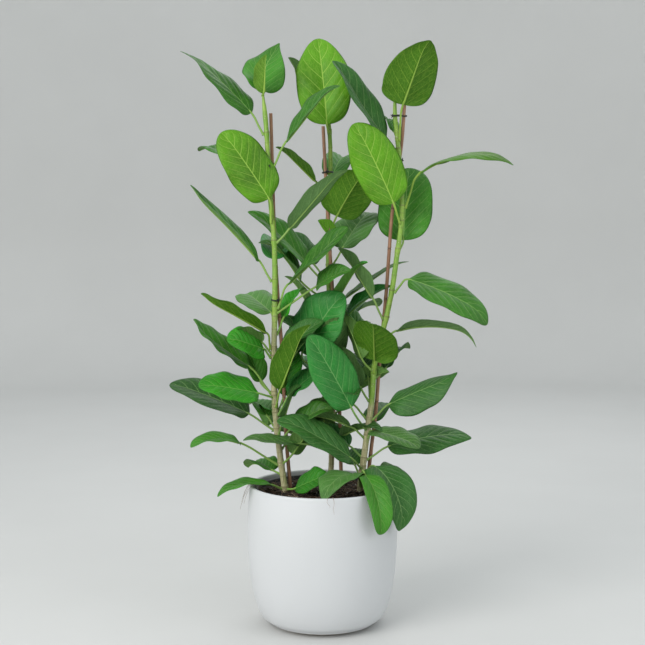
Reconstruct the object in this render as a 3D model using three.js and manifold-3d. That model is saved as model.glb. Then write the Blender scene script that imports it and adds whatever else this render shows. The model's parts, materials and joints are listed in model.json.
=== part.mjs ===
// A potted bengal fig: three staked stems of Ficus benghalensis in one nursery pot, stood inside a
// white ceramic cachepot. Millimetres, +Z up. The origin is the centre of the cachepot's flat base.
import * as THREE from "three";
import { mergeVertices } from "three/addons/utils/BufferGeometryUtils.js";
import Module from "manifold-3d";

const wasm = await Module();
wasm.setup();

// ---------------------------------------------------------------- driving dimensions
const GAP = 0.3; // left between pieces that touch

const CACHEPOT = {
  height: 228,
  rimRadius: 117.5, // outside, at the lip
  swell: 3.5, // how much wider the widest place is than the lip
  bellyHeight: 160, // of the widest place
  footRadius: 75,
  footHeight: 5, // of the unglazed foot
  wall: 5.5,
  floor: 10,
  sides: 56,
};

const NURSERY_POT = {
  belowRim: 6.7, // from the cachepot's rim down to this pot's lip
  clearance: 3.9, // from its lip to the cachepot's wall
  bottomRadius: 74,
  wall: 1.6,
  lipWidth: 2.6,
  lipDepth: 11,
  holeRadius: 5,
  holeCount: 8,
  holeInset: 15, // from the bottom's edge to a hole's centre
  sides: 40,
};

const SOIL = {
  belowRim: 9, // from the nursery pot's lip down to the soil
  bump: 2.6, // how far the surface rises and falls
  rings: 5,
  sides: 28,
};

// A stem's points are [x, y, height over the soil]. The first is under the soil.
const STEMS = {
  left: {
    baseRadius: 5.2,
    topRadius: 3.7,
    bud: 16,
    points: [
      [-57, 0, -45], [-60, 0, 0], [-67, 0, 50], [-76, 0, 137], [-78, 0, 217],
      [-76, 0, 307], [-77, 0, 407], [-83, 0, 477], [-89, 0, 587], [-94, 0, 636],
    ],
  },
  centre: {
    baseRadius: 4.7,
    topRadius: 3.4,
    bud: 30,
    points: [
      [12, 62, -45], [13, 61, 0], [17, 60, 117], [11, 60, 307],
      [9, 60, 447], [13, 60, 527], [11, 60, 587], [6, 60, 625],
    ],
  },
  right: {
    baseRadius: 5.2,
    topRadius: 3.5,
    bud: 52,
    points: [
      [58, 10, -45], [61, 12, 0], [71, 18, 83], [80, 22, 150], [85, 24, 211], [101, 25, 274],
      [112, 25, 326], [119, 25, 376], [128, 25, 455], [120, 25, 568], [115, 25, 617], [119, 23, 654],
    ],
  },
};

// Bamboo canes. Their points are [x, y, height over the soil]; the first is the foot of the cane.
const STAKES = {
  radius: 3.2,
  tipRadius: 2.7,
  left: [[-46, 13, -120], [-52, 12, 4], [-59, 11, 90], [-66, 10, 239], [-71, 10, 310],
    [-76, 10, 400], [-82, 10, 608]],
  centre: [[38, 52, -120], [31, 51, 15], [27, 50, 160], [17, 50, 315], [8, 50, 455], [1, 51, 590]],
  right: [[66, 24, -120], [73, 25, 5], [89, 33, 149], [93, 35, 210], [103, 35, 318], [113, 36, 455],
    [126, 36, 549], [132, 35, 633]],
};

// Wire ties: which stem and cane each one binds, and its height over the soil.
const WIRE_RADIUS = 0.8;
const TIES = {
  upper_left: ["left", 529],
  lower_left: ["left", 312],
  centre: ["centre", 516],
  upper_right: ["right", 606],
  lower_right: ["right", 535],
};

const PETIOLE_RADIUS = 1.5;
const BLADE_THICKNESS = 1.1;

// Outlines of a blade: where it is widest, as a power of the length, how full its shoulders are, and
// how blunt its ends are.
const FORMS = {
  oval: { shift: 0.84, fullness: 2.3, power: 0.5 },
  round: { shift: 0.8, fullness: 2.7, power: 0.5 },
  long: { shift: 0.92, fullness: 2.1, power: 0.5 },
  broad: { shift: 1.2, fullness: 2.4, power: 0.5 },
  heart: { shift: 0.6, fullness: 2.2, power: 0.72 },
};

// A petiole that carries its blade out over the pots' rim: its heading, and its rise and length from
// how far it goes out and up. One that goes less far out goes up more, so the blades stay apart.
const overRim = (heading, out, up) => [
  heading,
  THREE.MathUtils.radToDeg(Math.atan2(up, out)),
  Math.hypot(out, up),
];

// Each leaf: its stem, and the height over the soil where its petiole leaves; the petiole's heading,
// rise and length; the blade's heading, rise, length and width at its middle; how far it droops and
// how far it swings to the left on its way to the tip; its roll at the middle and its twist from end
// to end; and its fold along the midrib. Headings are counted from +X towards +Y, and all angles are
// in degrees. A positive roll lifts the side that is on the left, seen from the petiole.
const LEAVES = {
  left_01: ["left", 641, [81, 40, 11], [65, 51, 101, 70], [2, -88], [18, 0], 10, "heart", "green"],
  left_02: ["left", 641, [-82, 15, 9], [-75, 75, 61, 38], [-15, 0], [42, 0], 45, "long", "lime"],
  left_03: ["left", 575, [180, 54, 41], [-176, 43, 147, 60], [10, 0], [-27, 45], 15, "oval", "green"],
  left_04: ["left", 519, [152, 1, 39], [147, 24, 106, 62], [20, 0], [-8, 0], 15, "oval", "green"],
  left_05: ["left", 516, [-30, 55, 56], [-14, 49, 122, 58], [0, 0], [28, 0], 20, "broad", "green"],
  left_06: ["left", 437, [-110, 68, 39], [-167, 55, 128, 78], [4, 0], [-76, 0], 8, "oval", "lime"],
  left_07: ["left", 405, [-21, 39, 35], [-15, 48, 131, 58], [0, 0], [-16, 0], 12, "oval", "grey"],
  left_08: ["left", 343, [180, 52, 40], [-175, 45, 161, 60], [8, 0], [-11, 0], 20, "long", "green"],
  left_09: ["left", 300, [-27, 58, 44], [-9, 45, 133, 62], [-8, 0], [24, 44], 15, "broad", "green"],
  left_10: ["left", 284, [117, 28, 15], [125, 19, 96, 66], [10, 0], [-10, 0], 10, "oval", "grey"],
  left_11: ["left", 235, [-151, 63, 28], [-176, 28, 121, 58], [6, 0], [18, 0], 20, "long", "olive"],
  left_12: ["left", 221, [-153, 38, 22], [-136, 18, 76, 58], [0, 0], [-55, 0], 12, "oval", "bright"],
  left_13: ["left", 163, [-166, 47, 59], [-173, 37, 117, 64], [-6, 0], [-20, 20], 15, "broad", "green"],
  left_14: ["left", 157, [-140, 14, 33], [-152, 12, 104, 66], [4, 0], [-37, 0], 8, "oval", "bright"],
  left_15: ["left", 142, [-69, 50, 40], [-29, 66, 120, 68], [0, 0], [-4, 0], 30, "oval", "olive"],
  left_16: ["left", 129, [-38, 48, 44], [22, 36, 76, 66], [10, 0], [6, 0], 12, "oval", "teal"],
  left_17: ["left", 103, [175, 29, 52], [170, 20, 140, 70], [8, 0], [-24, 0], 12, "oval", "deep"],
  left_18: ["left", 47, [-169, 29, 75], [-160, 1, 86, 52], [42, 0], [-9, 0], 15, "oval", "green"],
  left_19: ["left", 8, [-145, 18, 25], [-158, -5, 97, 46], [44, 0], [-4, 0], 12, "long", "green"],
  left_20: ["left", 7, [-40, 8, 22], [-30, 26, 66, 50], [0, 0], [43, 0], 12, "broad", "bright"],
  centre_01: ["centre", 582, [-105, 33, 20], [113, 75, 149, 88], [10, 0], [-23, 0], 8, "oval", "lime"],
  centre_02: ["centre", 426, [-35, 48, 26], [-38, 52, 94, 80], [10, 0], [-44, 0], 10, "round", "olive"],
  centre_03: ["centre", 364, [10, 51, 38], [53, 39, 100, 78], [12, 0], [4, 0], 10, "oval", "grey"],
  centre_04: ["centre", 475, [169, 51, 34], [-164, 42, 87, 56], [0, 0], [-2, 0], 20, "broad", "olive"],
  centre_05: ["centre", 336, [-177, 41, 45], [-165, 44, 133, 66], [8, 0], [-36, 0], 15, "oval", "green"],
  centre_06: ["centre", 298, [24, 24, 27], [7, 33, 126, 50], [0, 0], [0, 0], 10, "long", "grey"],
  centre_07: ["centre", 186, [-154, 35, 66], [-28, 54, 122, 90], [8, 0], [84, 0], 10, "round", "teal"],
  centre_08: ["centre", 56, [-122, 16, 103], [-170, 10, 90, 44], [-14, 0], [-11, 0], 15, "oval", "grey"],
  right_01: ["right", 567, [-62, 74, 57], [-49, 62, 114, 92], [0, 0], [-19, 0], 10, "heart", "olive"],
  right_02: ["right", 436, [-125, 51, 39], [-167, 63, 141, 80], [6, 0], [-89, 0], 10, "oval", "lime"],
  right_03: ["right", 391, [61, 37, 26], [78, 65, 133, 90], [10, 0], [-1, 0], 8, "round", "green"],
  right_04: ["right", 460, [-16, 62, 62], [-8, 7, 157, 58], [55, 0], [-12, -34], 15, "long", "olive"],
  right_05: ["right", 551, [-169, 39, 27], [-179, 58, 150, 64], [-12, 0], [-36, 0], 22, "long", "deep"],
  right_06: ["right", 324, [-21, 36, 35], [-12, -25, 148, 74], [20, 0], [31, 0], 10, "oval", "green"],
  right_07: ["right", 244, [-13, 33, 31], [-2, -5, 141, 58], [42, 0], [-13, 0], 18, "long", "grey"],
  right_08: ["right", 281, [-155, 54, 41], [173, 58, 98, 56], [-4, 0], [28, 0], 18, "long", "grey"],
  right_09: ["right", 194, [-87, 52, 26], [-94, 39, 124, 80], [12, 0], [-23, 0], 12, "heart", "olive"],
  right_10: ["right", 102, [-128, 41, 60], [-157, 59, 138, 74], [4, 0], [-83, 0], 8, "oval", "teal"],
  right_11: ["right", 39, [-119, 28, 44], [-158, 31, 143, 70], [10, 0], [-38, 0], 12, "oval", "deep"],
  right_12: ["right", 12, overRim(-101, CACHEPOT.rimRadius - 86.6, 30.3 - CACHEPOT.rimRadius * 0.1),
    [-120, -7, 122, 60], [60, 0], [-1, 0], 10, "oval", "grey"],
  right_13: ["right", 30, overRim(-56, CACHEPOT.rimRadius - 85.4, 110.3 - CACHEPOT.rimRadius * 0.8),
    [-55, -50, 132, 78], [78, 0], [2, 0], 8, "oval", "deep"],
  right_14: ["right", 32, overRim(25, Math.max(34, CACHEPOT.rimRadius - 83.5), -0.6),
    [21, -36, 70, 54], [44, 0], [23, 0], 15, "oval", "grey"],
  right_15: ["right", 117, [-18, 38, 41], [-20, 24, 128, 70], [6, 0], [44, 0], 12, "oval", "deep"],
  right_16: ["right", 89, [-68, 35, 21], [-41, -8, 99, 54], [14, 0], [11, 0], 10, "oval", "grey"],
  right_17: ["right", 52, [0, 28, 44], [5, 8, 141, 70], [18, 0], [27, 0], 10, "oval", "deep"],
  centre_09: ["centre", 120, [80, 40, 45], [70, 25, 125, 72], [30, 0], [0, 0], 12, "oval", "deep"],
};

// ---------------------------------------------------------------- finishes
const finish = (color, roughness, metalness = 0) =>
  new THREE.MeshStandardMaterial({ color, roughness, metalness });

const LEAF_COLOURS = {
  lime: 0x6da524,
  bright: 0x3fa32a,
  green: 0x2f7d31,
  teal: 0x2a7a4a,
  deep: 0x24552f,
  olive: 0x4d7020,
  grey: 0x4d7a50,
};

// ---------------------------------------------------------------- lofts
const radians = THREE.MathUtils.degToRad;

// The unit vector of a heading and a rise, and the two that go with it: side and upper-face normal.
function leafFrame(heading, rise, roll) {
  const h = radians(heading);
  const r = radians(rise);
  const along = new THREE.Vector3(Math.cos(r) * Math.cos(h), Math.cos(r) * Math.sin(h), Math.sin(r));
  const level = new THREE.Vector3(-Math.sin(h), Math.cos(h), 0);
  const side = level.applyAxisAngle(along, radians(roll));
  return { along, side, normal: along.clone().cross(side) };
}

// A closed skin over rings that hold the same number of points, each ring counter-clockwise seen
// from the ring before. A ring of one point closes an end.
function loft(rings) {
  const points = rings.flat();
  const index = [];
  let low = 0;
  for (let i = 0; i + 1 < rings.length; i++) {
    const high = low + rings[i].length;
    const sides = Math.max(rings[i].length, rings[i + 1].length);
    for (let j = 0; j < sides; j++) {
      const k = (j + 1) % sides;
      if (rings[i].length === 1) index.push(low, high + j, high + k);
      else if (rings[i + 1].length === 1) index.push(low + j, high, low + k);
      else index.push(low + j, high + k, low + k, low + j, high + j, high + k);
    }
    low = high;
  }
  const geometry = new THREE.BufferGeometry().setFromPoints(points);
  geometry.setIndex(index);
  geometry.computeVertexNormals();
  return geometry;
}

// A ring of points round a centre, in the plane of side and normal.
function roundRing(centre, side, normal, radius, sides, flattened = 1) {
  return Array.from({ length: sides }, (_, j) => {
    const angle = (2 * Math.PI * j) / sides;
    const up = Math.sin(angle) * (Math.sin(angle) > 0.99 ? flattened : 1);
    return centre.clone()
      .addScaledVector(side, -Math.cos(angle) * radius)
      .addScaledVector(normal, up * radius);
  });
}

// A solid rod along a smooth curve through points, its radius given by a function of 0 to 1.
function rod(points, radiusAt, steps, sides, pointed) {
  const curve = new THREE.CatmullRomCurve3(points, false, "centripetal");
  const rings = [[curve.getPointAt(0)]];
  const last = pointed ? steps - 1 : steps;
  for (let i = 0; i <= last; i++) {
    const t = i / steps;
    const along = curve.getTangentAt(t);
    const side = new THREE.Vector3(0, 1, 0).cross(along).normalize();
    const normal = along.clone().cross(side);
    rings.push(roundRing(curve.getPointAt(t), side, normal, radiusAt(t), sides));
  }
  rings.push([curve.getPointAt(1)]);
  return loft(rings);
}

const vectors = (points) => points.map((p) => new THREE.Vector3(...p));

// A manifold-3d solid of a closed geometry, and the geometry of a manifold-3d solid.
function solidOf(geometry) {
  const bare = geometry.clone();
  bare.deleteAttribute("normal");
  bare.deleteAttribute("uv");
  const merged = mergeVertices(bare);
  return new wasm.Manifold(
    new wasm.Mesh({
      numProp: 3,
      vertProperties: merged.attributes.position.array,
      triVerts: new Uint32Array(merged.index.array),
    }),
  );
}

function geometryOf(solid) {
  const mesh = solid.getMesh();
  const geometry = new THREE.BufferGeometry();
  geometry.setAttribute("position", new THREE.BufferAttribute(mesh.vertProperties, 3));
  geometry.setIndex(new THREE.BufferAttribute(mesh.triVerts, 1));
  geometry.computeVertexNormals();
  return geometry;
}

// A solid of revolution about +Z, from a profile of [radius, height] that starts and ends on the axis.
function turned(profile, sides) {
  const geometry = new THREE.LatheGeometry(
    profile.map(([r, z]) => new THREE.Vector2(r, z)),
    sides,
  );
  return geometry.rotateX(Math.PI / 2);
}

// ---------------------------------------------------------------- the two pots
// The cachepot's outside from its foot up to the lip, as [radius, height].
function cachepotOutside() {
  const { height, rimRadius, swell, bellyHeight, footRadius, footHeight } = CACHEPOT;
  const bellyRadius = rimRadius + swell;
  const points = [[footRadius, footHeight]];
  const steps = 9;
  for (let i = 1; i <= steps; i++) {
    const angle = (Math.PI / 2) * (i / steps);
    points.push([
      footRadius + (bellyRadius - footRadius) * Math.sin(angle) ** 0.72,
      footHeight + (bellyHeight - footHeight) * (1 - Math.cos(angle)) ** 1.08,
    ]);
  }
  points.push([(bellyRadius * 2 + rimRadius) / 3, (bellyHeight + height) / 2]);
  points.push([rimRadius, height - CACHEPOT.wall / 2]);
  return points;
}

function cachepot() {
  const { height, rimRadius, footRadius, wall, floor, sides } = CACHEPOT;
  const outside = cachepotOutside();
  const inside = outside
    .map(([r, z]) => [r - wall, z])
    .filter(([, z]) => z > floor * 2)
    .reverse();
  return turned(
    [
      [0, 0],
      [footRadius - 1.5, 0],
      ...outside,
      [rimRadius - wall * 0.15, height - wall * 0.15],
      [rimRadius - wall / 2, height],
      [rimRadius - wall * 0.85, height - wall * 0.15],
      ...inside,
      [inside[inside.length - 1][0] - 8, floor],
      [0, floor],
    ],
    sides,
  );
}

const potFloor = CACHEPOT.floor + GAP;
const lipTop = CACHEPOT.height - NURSERY_POT.belowRim;
const soilLevel = lipTop - SOIL.belowRim;

// The nursery pot's outer radius at a height, not counting its lip.
function nurseryRadius(z) {
  const { bottomRadius, clearance, lipWidth } = NURSERY_POT;
  const topRadius = CACHEPOT.rimRadius - CACHEPOT.wall - clearance - lipWidth;
  return THREE.MathUtils.mapLinear(z, potFloor, lipTop, bottomRadius, topRadius);
}

function nurseryPot() {
  const { bottomRadius, wall, lipWidth, lipDepth, holeRadius, holeCount, holeInset, sides } =
    NURSERY_POT;
  const lipBottom = lipTop - lipDepth;
  const shell = turned(
    [
      [0, potFloor],
      [bottomRadius - 2, potFloor],
      [bottomRadius, potFloor + 2],
      [nurseryRadius(lipBottom), lipBottom],
      [nurseryRadius(lipBottom) + lipWidth, lipBottom],
      [nurseryRadius(lipTop) + lipWidth, lipTop],
      [nurseryRadius(lipTop) - wall, lipTop],
      [bottomRadius - wall, potFloor + wall],
      [0, potFloor + wall],
    ],
    sides,
  );
  let solid = solidOf(shell);
  const drill = new THREE.CylinderGeometry(holeRadius, holeRadius, wall * 4, 10).rotateX(Math.PI / 2);
  for (let i = 0; i < holeCount; i++) {
    const angle = (2 * Math.PI * (i + 0.5)) / holeCount;
    const out = bottomRadius - holeInset;
    const hole = drill.clone().translate(out * Math.cos(angle), out * Math.sin(angle), potFloor);
    solid = solid.subtract(solidOf(hole));
  }
  return geometryOf(solid);
}

// ---------------------------------------------------------------- soil
// The soil's bumpy surface: three crossing waves.
function soilHeight(x, y) {
  const wave = Math.sin(x / 13 + 1) + Math.sin(y / 11 + 2) + Math.sin((x + y) / 17);
  return soilLevel + (SOIL.bump / 3) * wave;
}

function soil(sockets) {
  const { rings, sides } = SOIL;
  const ringAt = (radius, height) =>
    Array.from({ length: sides }, (_, j) => {
      const angle = (-2 * Math.PI * j) / sides;
      const [x, y] = [radius * Math.cos(angle), radius * Math.sin(angle)];
      return new THREE.Vector3(x, y, height(x, y));
    });
  const inner = (z) => nurseryRadius(z) - NURSERY_POT.wall - GAP * 2;
  const foot = potFloor + NURSERY_POT.wall + GAP;
  const skin = [[new THREE.Vector3(0, 0, foot)], ringAt(inner(foot) - 1, () => foot)];
  const edge = inner(soilLevel - SOIL.bump);
  for (let i = rings; i > 0; i--) skin.push(ringAt((edge * i) / rings, soilHeight));
  skin.push([new THREE.Vector3(0, 0, soilHeight(0, 0))]);
  let solid = solidOf(loft(skin));
  for (const socket of sockets) solid = solid.subtract(solidOf(socket));
  return geometryOf(solid);
}

// ---------------------------------------------------------------- stems, canes and ties
const STEM_STEPS = 26;
const STEM_SIDES = 8;

const overSoil = (points) => vectors(points).map((p) => p.setZ(p.z + soilLevel));

// A stem's radius along it: a flare at the soil, a slow taper, and the pointed bud at the top.
function stemRadius({ baseRadius, topRadius, bud, points }) {
  const length = points[points.length - 1][2] - points[0][2];
  const budShare = bud / length;
  return (t) => {
    const shoot = THREE.MathUtils.lerp(baseRadius, topRadius, Math.min(1, t * 1.08));
    if (t < 1 - budShare) return shoot;
    const up = (t - 1 + budShare) / budShare;
    return shoot * (1 - 0.8 * up ** 1.6);
  };
}

const stem = (plan) =>
  rod(overSoil(plan.points), stemRadius(plan), STEM_STEPS, STEM_SIDES, true);

const cane = (points, extra = 0) =>
  rod(
    overSoil(points),
    (t) => THREE.MathUtils.lerp(STAKES.radius, STAKES.tipRadius, t) + extra,
    12,
    STEM_SIDES,
    false,
  );

// The centre of a rod at a height over the soil.
function centreAt(points, height) {
  const curve = new THREE.CatmullRomCurve3(overSoil(points), false, "centripetal");
  let [low, high] = [0, 1];
  for (let i = 0; i < 30; i++) {
    const middle = (low + high) / 2;
    if (curve.getPointAt(middle).z < soilLevel + height) low = middle;
    else high = middle;
  }
  return curve.getPointAt(low);
}

// The stem's radius at a height over the soil.
function radiusAtHeight(plan, height) {
  const { points } = plan;
  const bottom = points[0][2];
  const top = points[points.length - 1][2];
  return stemRadius(plan)((height - bottom) / (top - bottom));
}

// A loop of wire round a stem and its cane: an oval, clear of both.
function tie(name, height) {
  const plan = STEMS[name];
  const stemCentre = centreAt(plan.points, height);
  const caneCentre = centreAt(STAKES[name], height);
  const across = caneCentre.clone().sub(stemCentre).setZ(0);
  const reach = across.length() / 2;
  const long = across.normalize();
  const short = new THREE.Vector3(-long.y, long.x, 0);
  const wide = Math.max(radiusAtHeight(plan, height), STAKES.radius) + WIRE_RADIUS + GAP * 4;
  const middle = stemCentre.clone().add(caneCentre).multiplyScalar(0.5);
  const loop = [];
  const steps = 18;
  for (let i = 0; i < steps; i++) {
    const angle = (2 * Math.PI * i) / steps;
    const side = Math.cos(angle) >= 0 ? 1 : -1;
    loop.push(
      middle.clone()
        .addScaledVector(long, reach * side + wide * Math.cos(angle))
        .addScaledVector(short, wide * Math.sin(angle))
        .setZ(middle.z + 1.5 * Math.sin(angle)),
    );
  }
  return wireLoop(loop, WIRE_RADIUS);
}

function wireLoop(points, radius) {
  const sides = 6;
  const rings = points.map((point, i) => {
    const next = points[(i + 1) % points.length];
    const before = points[(i + points.length - 1) % points.length];
    const along = next.clone().sub(before).normalize();
    const side = new THREE.Vector3(0, 0, 1).cross(along).normalize();
    return roundRing(point, side, along.clone().cross(side), radius, sides);
  });
  const geometry = loft([...rings, rings[0]]);
  geometry.deleteAttribute("normal");
  return mergeVertices(geometry);
}

// ---------------------------------------------------------------- leaves
const BLADE_STATIONS = [0, 0.07, 0.24, 0.46, 0.68, 0.87, 0.97];
const PETIOLE_STATIONS = [0, 0.4, 0.8];
const SECTION_SIDES = 8;
const PATH_STEPS = 60;

// Half the blade's width at a share of its length: an oval, widest nearer the base than the tip.
function halfWidth(width, form, t) {
  const { shift, fullness, power } = FORMS[form];
  const across = Math.abs(2 * t ** shift - 1);
  return (width / 2) * Math.max(0, 1 - across ** fullness) ** power;
}

// A blade's section, from its right edge over the upper face to the left edge and back below.
function bladeSection(centre, frame, half, fold) {
  const lift = Math.sin(radians(fold));
  const spread = Math.cos(radians(fold));
  const thick = BLADE_THICKNESS / 2;
  const at = (across, up) =>
    centre.clone()
      .addScaledVector(frame.side, across * half * spread)
      .addScaledVector(frame.normal, Math.abs(across) * half * lift + up);
  const crown = 0.04 * half;
  return [
    at(-1, 0),
    at(-0.5, thick + crown),
    at(0, thick * 0.6),
    at(0.5, thick + crown),
    at(1, 0),
    at(0.5, crown - thick),
    at(0, -thick - 1),
    at(-0.5, crown - thick),
  ];
}

function leaf([stemName, height, petiole, blade, [droop, swing], [roll, twist], fold, form]) {
  const plan = STEMS[stemName];
  const axis = centreAt(plan.points, height);
  const [heading, rise, reach] = petiole;
  const [bladeHeading, bladeRise, length, width] = blade;
  const petioleFrame = leafFrame(heading, rise, 0);
  const bladeBase = axis.clone().addScaledVector(petioleFrame.along, reach);
  const level = new THREE.Vector3(Math.cos(radians(heading)), Math.sin(radians(heading)), 0);
  const clear = radiusAtHeight(plan, height) + GAP + PETIOLE_RADIUS * 1.15;
  const start = axis.clone().addScaledVector(level, clear);

  const frameAt = (t) =>
    leafFrame(
      bladeHeading + swing * (t - 0.5),
      bladeRise + droop * (0.5 - t),
      roll + twist * (t - 0.5),
    );
  const first = frameAt(0);
  const handle = start.distanceTo(bladeBase) / 3;
  const path = new THREE.CubicBezierCurve3(
    start,
    start.clone().addScaledVector(petioleFrame.along, handle),
    bladeBase.clone().addScaledVector(first.along, -handle),
    bladeBase,
  );
  const rings = [[start]];
  for (const t of PETIOLE_STATIONS) {
    const along = path.getTangent(t);
    const side = petioleFrame.side.clone().lerp(first.side, t ** 1.5);
    side.addScaledVector(along, -side.dot(along)).normalize();
    const radius = PETIOLE_RADIUS * (1.15 - 0.35 * t);
    rings.push(roundRing(path.getPoint(t), side, along.clone().cross(side), radius, SECTION_SIDES, 0.8));
  }
  const point = bladeBase.clone();
  let walked = 0;
  for (const t of BLADE_STATIONS) {
    for (; walked < Math.round(t * PATH_STEPS); walked++)
      point.addScaledVector(frameAt((walked + 0.5) / PATH_STEPS).along, length / PATH_STEPS);
    const half = Math.max(halfWidth(width, form, t), PETIOLE_RADIUS);
    rings.push(bladeSection(point, frameAt(t), half, fold * Math.min(1, t * 8)));
  }
  for (; walked < PATH_STEPS; walked++)
    point.addScaledVector(frameAt((walked + 0.5) / PATH_STEPS).along, length / PATH_STEPS);
  rings.push([point.clone()]);
  return loft(rings);
}

// ---------------------------------------------------------------- the plant in its pots
const plant = new THREE.Group();

function add(name, geometry, material) {
  const mesh = new THREE.Mesh(geometry, material);
  mesh.name = name;
  plant.add(mesh);
}

add("cachepot", cachepot(), finish(0xe9e9e6, 0.45));
add("nursery_pot", nurseryPot(), finish(0x2b2c2e, 0.6));

const sockets = [];
for (const [name, plan] of Object.entries(STEMS)) {
  const wider = { ...plan, baseRadius: plan.baseRadius + GAP, topRadius: plan.topRadius + GAP };
  const hole = { ...wider, points: plan.points.map(([x, y, z], i) => [x, y, i ? z : z - GAP]) };
  sockets.push(stem(hole));
  sockets.push(cane(STAKES[name].map(([x, y, z], i) => [x, y, i ? z : z - GAP]), GAP));
}
add("soil", soil(sockets), finish(0x3a2a1e, 0.95));

for (const [name, plan] of Object.entries(STEMS)) {
  add(`stem_${name}`, stem(plan), finish(0x8fa35a, 0.6));
  add(`stake_${name}`, cane(STAKES[name]), finish(0xa8785c, 0.7));
}

for (const [place, [name, height]] of Object.entries(TIES))
  add(`tie_${place}`, tie(name, height), finish(0x1c1c1c, 0.5));

for (const [name, plan] of Object.entries(LEAVES)) {
  const [age] = plan.slice(-1);
  add(`leaf_${name}`, leaf(plan), finish(LEAF_COLOURS[age], 0.5));
}

export default plant;
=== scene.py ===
# %% [markdown]
# # A potted bengal fig
# Three woody stems of a Ficus, each tied to a bamboo cane, stand in a plastic nursery pot inside a
# white glazed cachepot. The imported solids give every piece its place. What is made here is what
# they leave out: veins, wavy margins, bark, bamboo joints, glaze, potting bark and roots.
# Each new piece is a surface worked out with numpy from its solid, so it sits where the solid does.

# %% Load the fixed frame
import json
import math
import bpy
import numpy as np
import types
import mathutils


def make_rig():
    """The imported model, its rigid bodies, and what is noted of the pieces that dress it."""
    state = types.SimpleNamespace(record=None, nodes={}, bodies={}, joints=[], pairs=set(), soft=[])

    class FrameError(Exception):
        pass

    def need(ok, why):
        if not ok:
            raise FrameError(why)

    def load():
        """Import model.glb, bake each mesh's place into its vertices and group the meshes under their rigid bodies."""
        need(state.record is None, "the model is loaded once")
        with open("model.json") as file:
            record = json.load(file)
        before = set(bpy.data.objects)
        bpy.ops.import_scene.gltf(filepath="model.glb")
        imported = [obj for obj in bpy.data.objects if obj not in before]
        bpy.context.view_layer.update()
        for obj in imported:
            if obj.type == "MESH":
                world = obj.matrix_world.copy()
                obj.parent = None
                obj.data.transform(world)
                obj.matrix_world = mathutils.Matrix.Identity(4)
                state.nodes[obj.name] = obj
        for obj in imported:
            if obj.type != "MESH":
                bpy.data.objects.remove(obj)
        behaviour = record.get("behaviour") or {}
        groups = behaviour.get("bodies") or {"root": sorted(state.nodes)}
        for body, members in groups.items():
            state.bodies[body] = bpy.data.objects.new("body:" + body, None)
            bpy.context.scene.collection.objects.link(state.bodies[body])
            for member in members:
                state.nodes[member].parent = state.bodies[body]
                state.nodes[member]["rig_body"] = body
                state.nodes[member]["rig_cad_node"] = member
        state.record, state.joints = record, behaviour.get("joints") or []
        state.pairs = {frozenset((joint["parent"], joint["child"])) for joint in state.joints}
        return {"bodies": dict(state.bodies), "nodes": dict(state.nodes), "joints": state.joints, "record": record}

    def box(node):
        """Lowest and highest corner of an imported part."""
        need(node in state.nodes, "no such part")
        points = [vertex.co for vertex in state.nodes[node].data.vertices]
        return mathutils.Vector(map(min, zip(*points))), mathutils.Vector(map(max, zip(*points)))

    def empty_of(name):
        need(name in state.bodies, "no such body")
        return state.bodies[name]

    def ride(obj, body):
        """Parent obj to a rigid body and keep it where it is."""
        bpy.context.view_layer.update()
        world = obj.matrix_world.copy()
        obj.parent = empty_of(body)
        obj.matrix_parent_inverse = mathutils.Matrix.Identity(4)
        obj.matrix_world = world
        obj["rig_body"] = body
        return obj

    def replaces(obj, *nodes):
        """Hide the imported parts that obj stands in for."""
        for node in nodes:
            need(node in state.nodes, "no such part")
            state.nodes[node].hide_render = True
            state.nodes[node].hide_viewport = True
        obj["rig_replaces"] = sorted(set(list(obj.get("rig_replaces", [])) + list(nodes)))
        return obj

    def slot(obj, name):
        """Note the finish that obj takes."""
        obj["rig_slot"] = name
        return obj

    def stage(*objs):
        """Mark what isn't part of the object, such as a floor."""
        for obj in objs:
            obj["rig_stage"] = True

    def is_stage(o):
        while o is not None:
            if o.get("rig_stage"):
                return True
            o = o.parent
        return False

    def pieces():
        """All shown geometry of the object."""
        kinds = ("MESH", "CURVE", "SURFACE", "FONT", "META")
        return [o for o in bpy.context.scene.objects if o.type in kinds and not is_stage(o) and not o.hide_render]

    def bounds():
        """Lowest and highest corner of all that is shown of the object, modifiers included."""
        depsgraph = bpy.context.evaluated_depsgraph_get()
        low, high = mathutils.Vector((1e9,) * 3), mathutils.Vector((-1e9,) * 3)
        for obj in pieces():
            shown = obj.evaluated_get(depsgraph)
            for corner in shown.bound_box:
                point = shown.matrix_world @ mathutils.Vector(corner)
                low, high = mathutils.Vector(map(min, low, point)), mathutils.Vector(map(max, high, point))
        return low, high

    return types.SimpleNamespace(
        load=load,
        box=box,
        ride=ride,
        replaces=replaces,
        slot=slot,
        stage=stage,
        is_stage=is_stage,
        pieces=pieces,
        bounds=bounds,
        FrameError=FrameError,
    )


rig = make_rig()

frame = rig.load()
cad_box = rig.bounds()
slot_of = {part["node"]: part["material_slot"] for part in frame["record"]["subparts"]}
print(len(frame["nodes"]), "nodes in", [list(corner) for corner in cad_box])

# %% [markdown]
# ## Camera
# The plant is seen from a little over two metres away, from just above its middle, through a long
# lens. A long lens keeps the stems nearly parallel, as the eye sees them across a room.

# %% Camera
AWAY, EYE_LEVEL, LOOKING_DOWN = 2.15, 0.676, 4.98
eye = bpy.data.cameras.new("room_camera")
eye.sensor_width = 36
eye.lens = 75.35
camera = bpy.data.objects.new("room_camera", eye)
camera.location = (0, -AWAY, EYE_LEVEL)
camera.rotation_euler = (math.radians(90 - LOOKING_DOWN), 0, 0)
bpy.context.scene.collection.objects.link(camera)
bpy.context.scene.camera = camera
print("camera at", tuple(camera.location))

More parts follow.
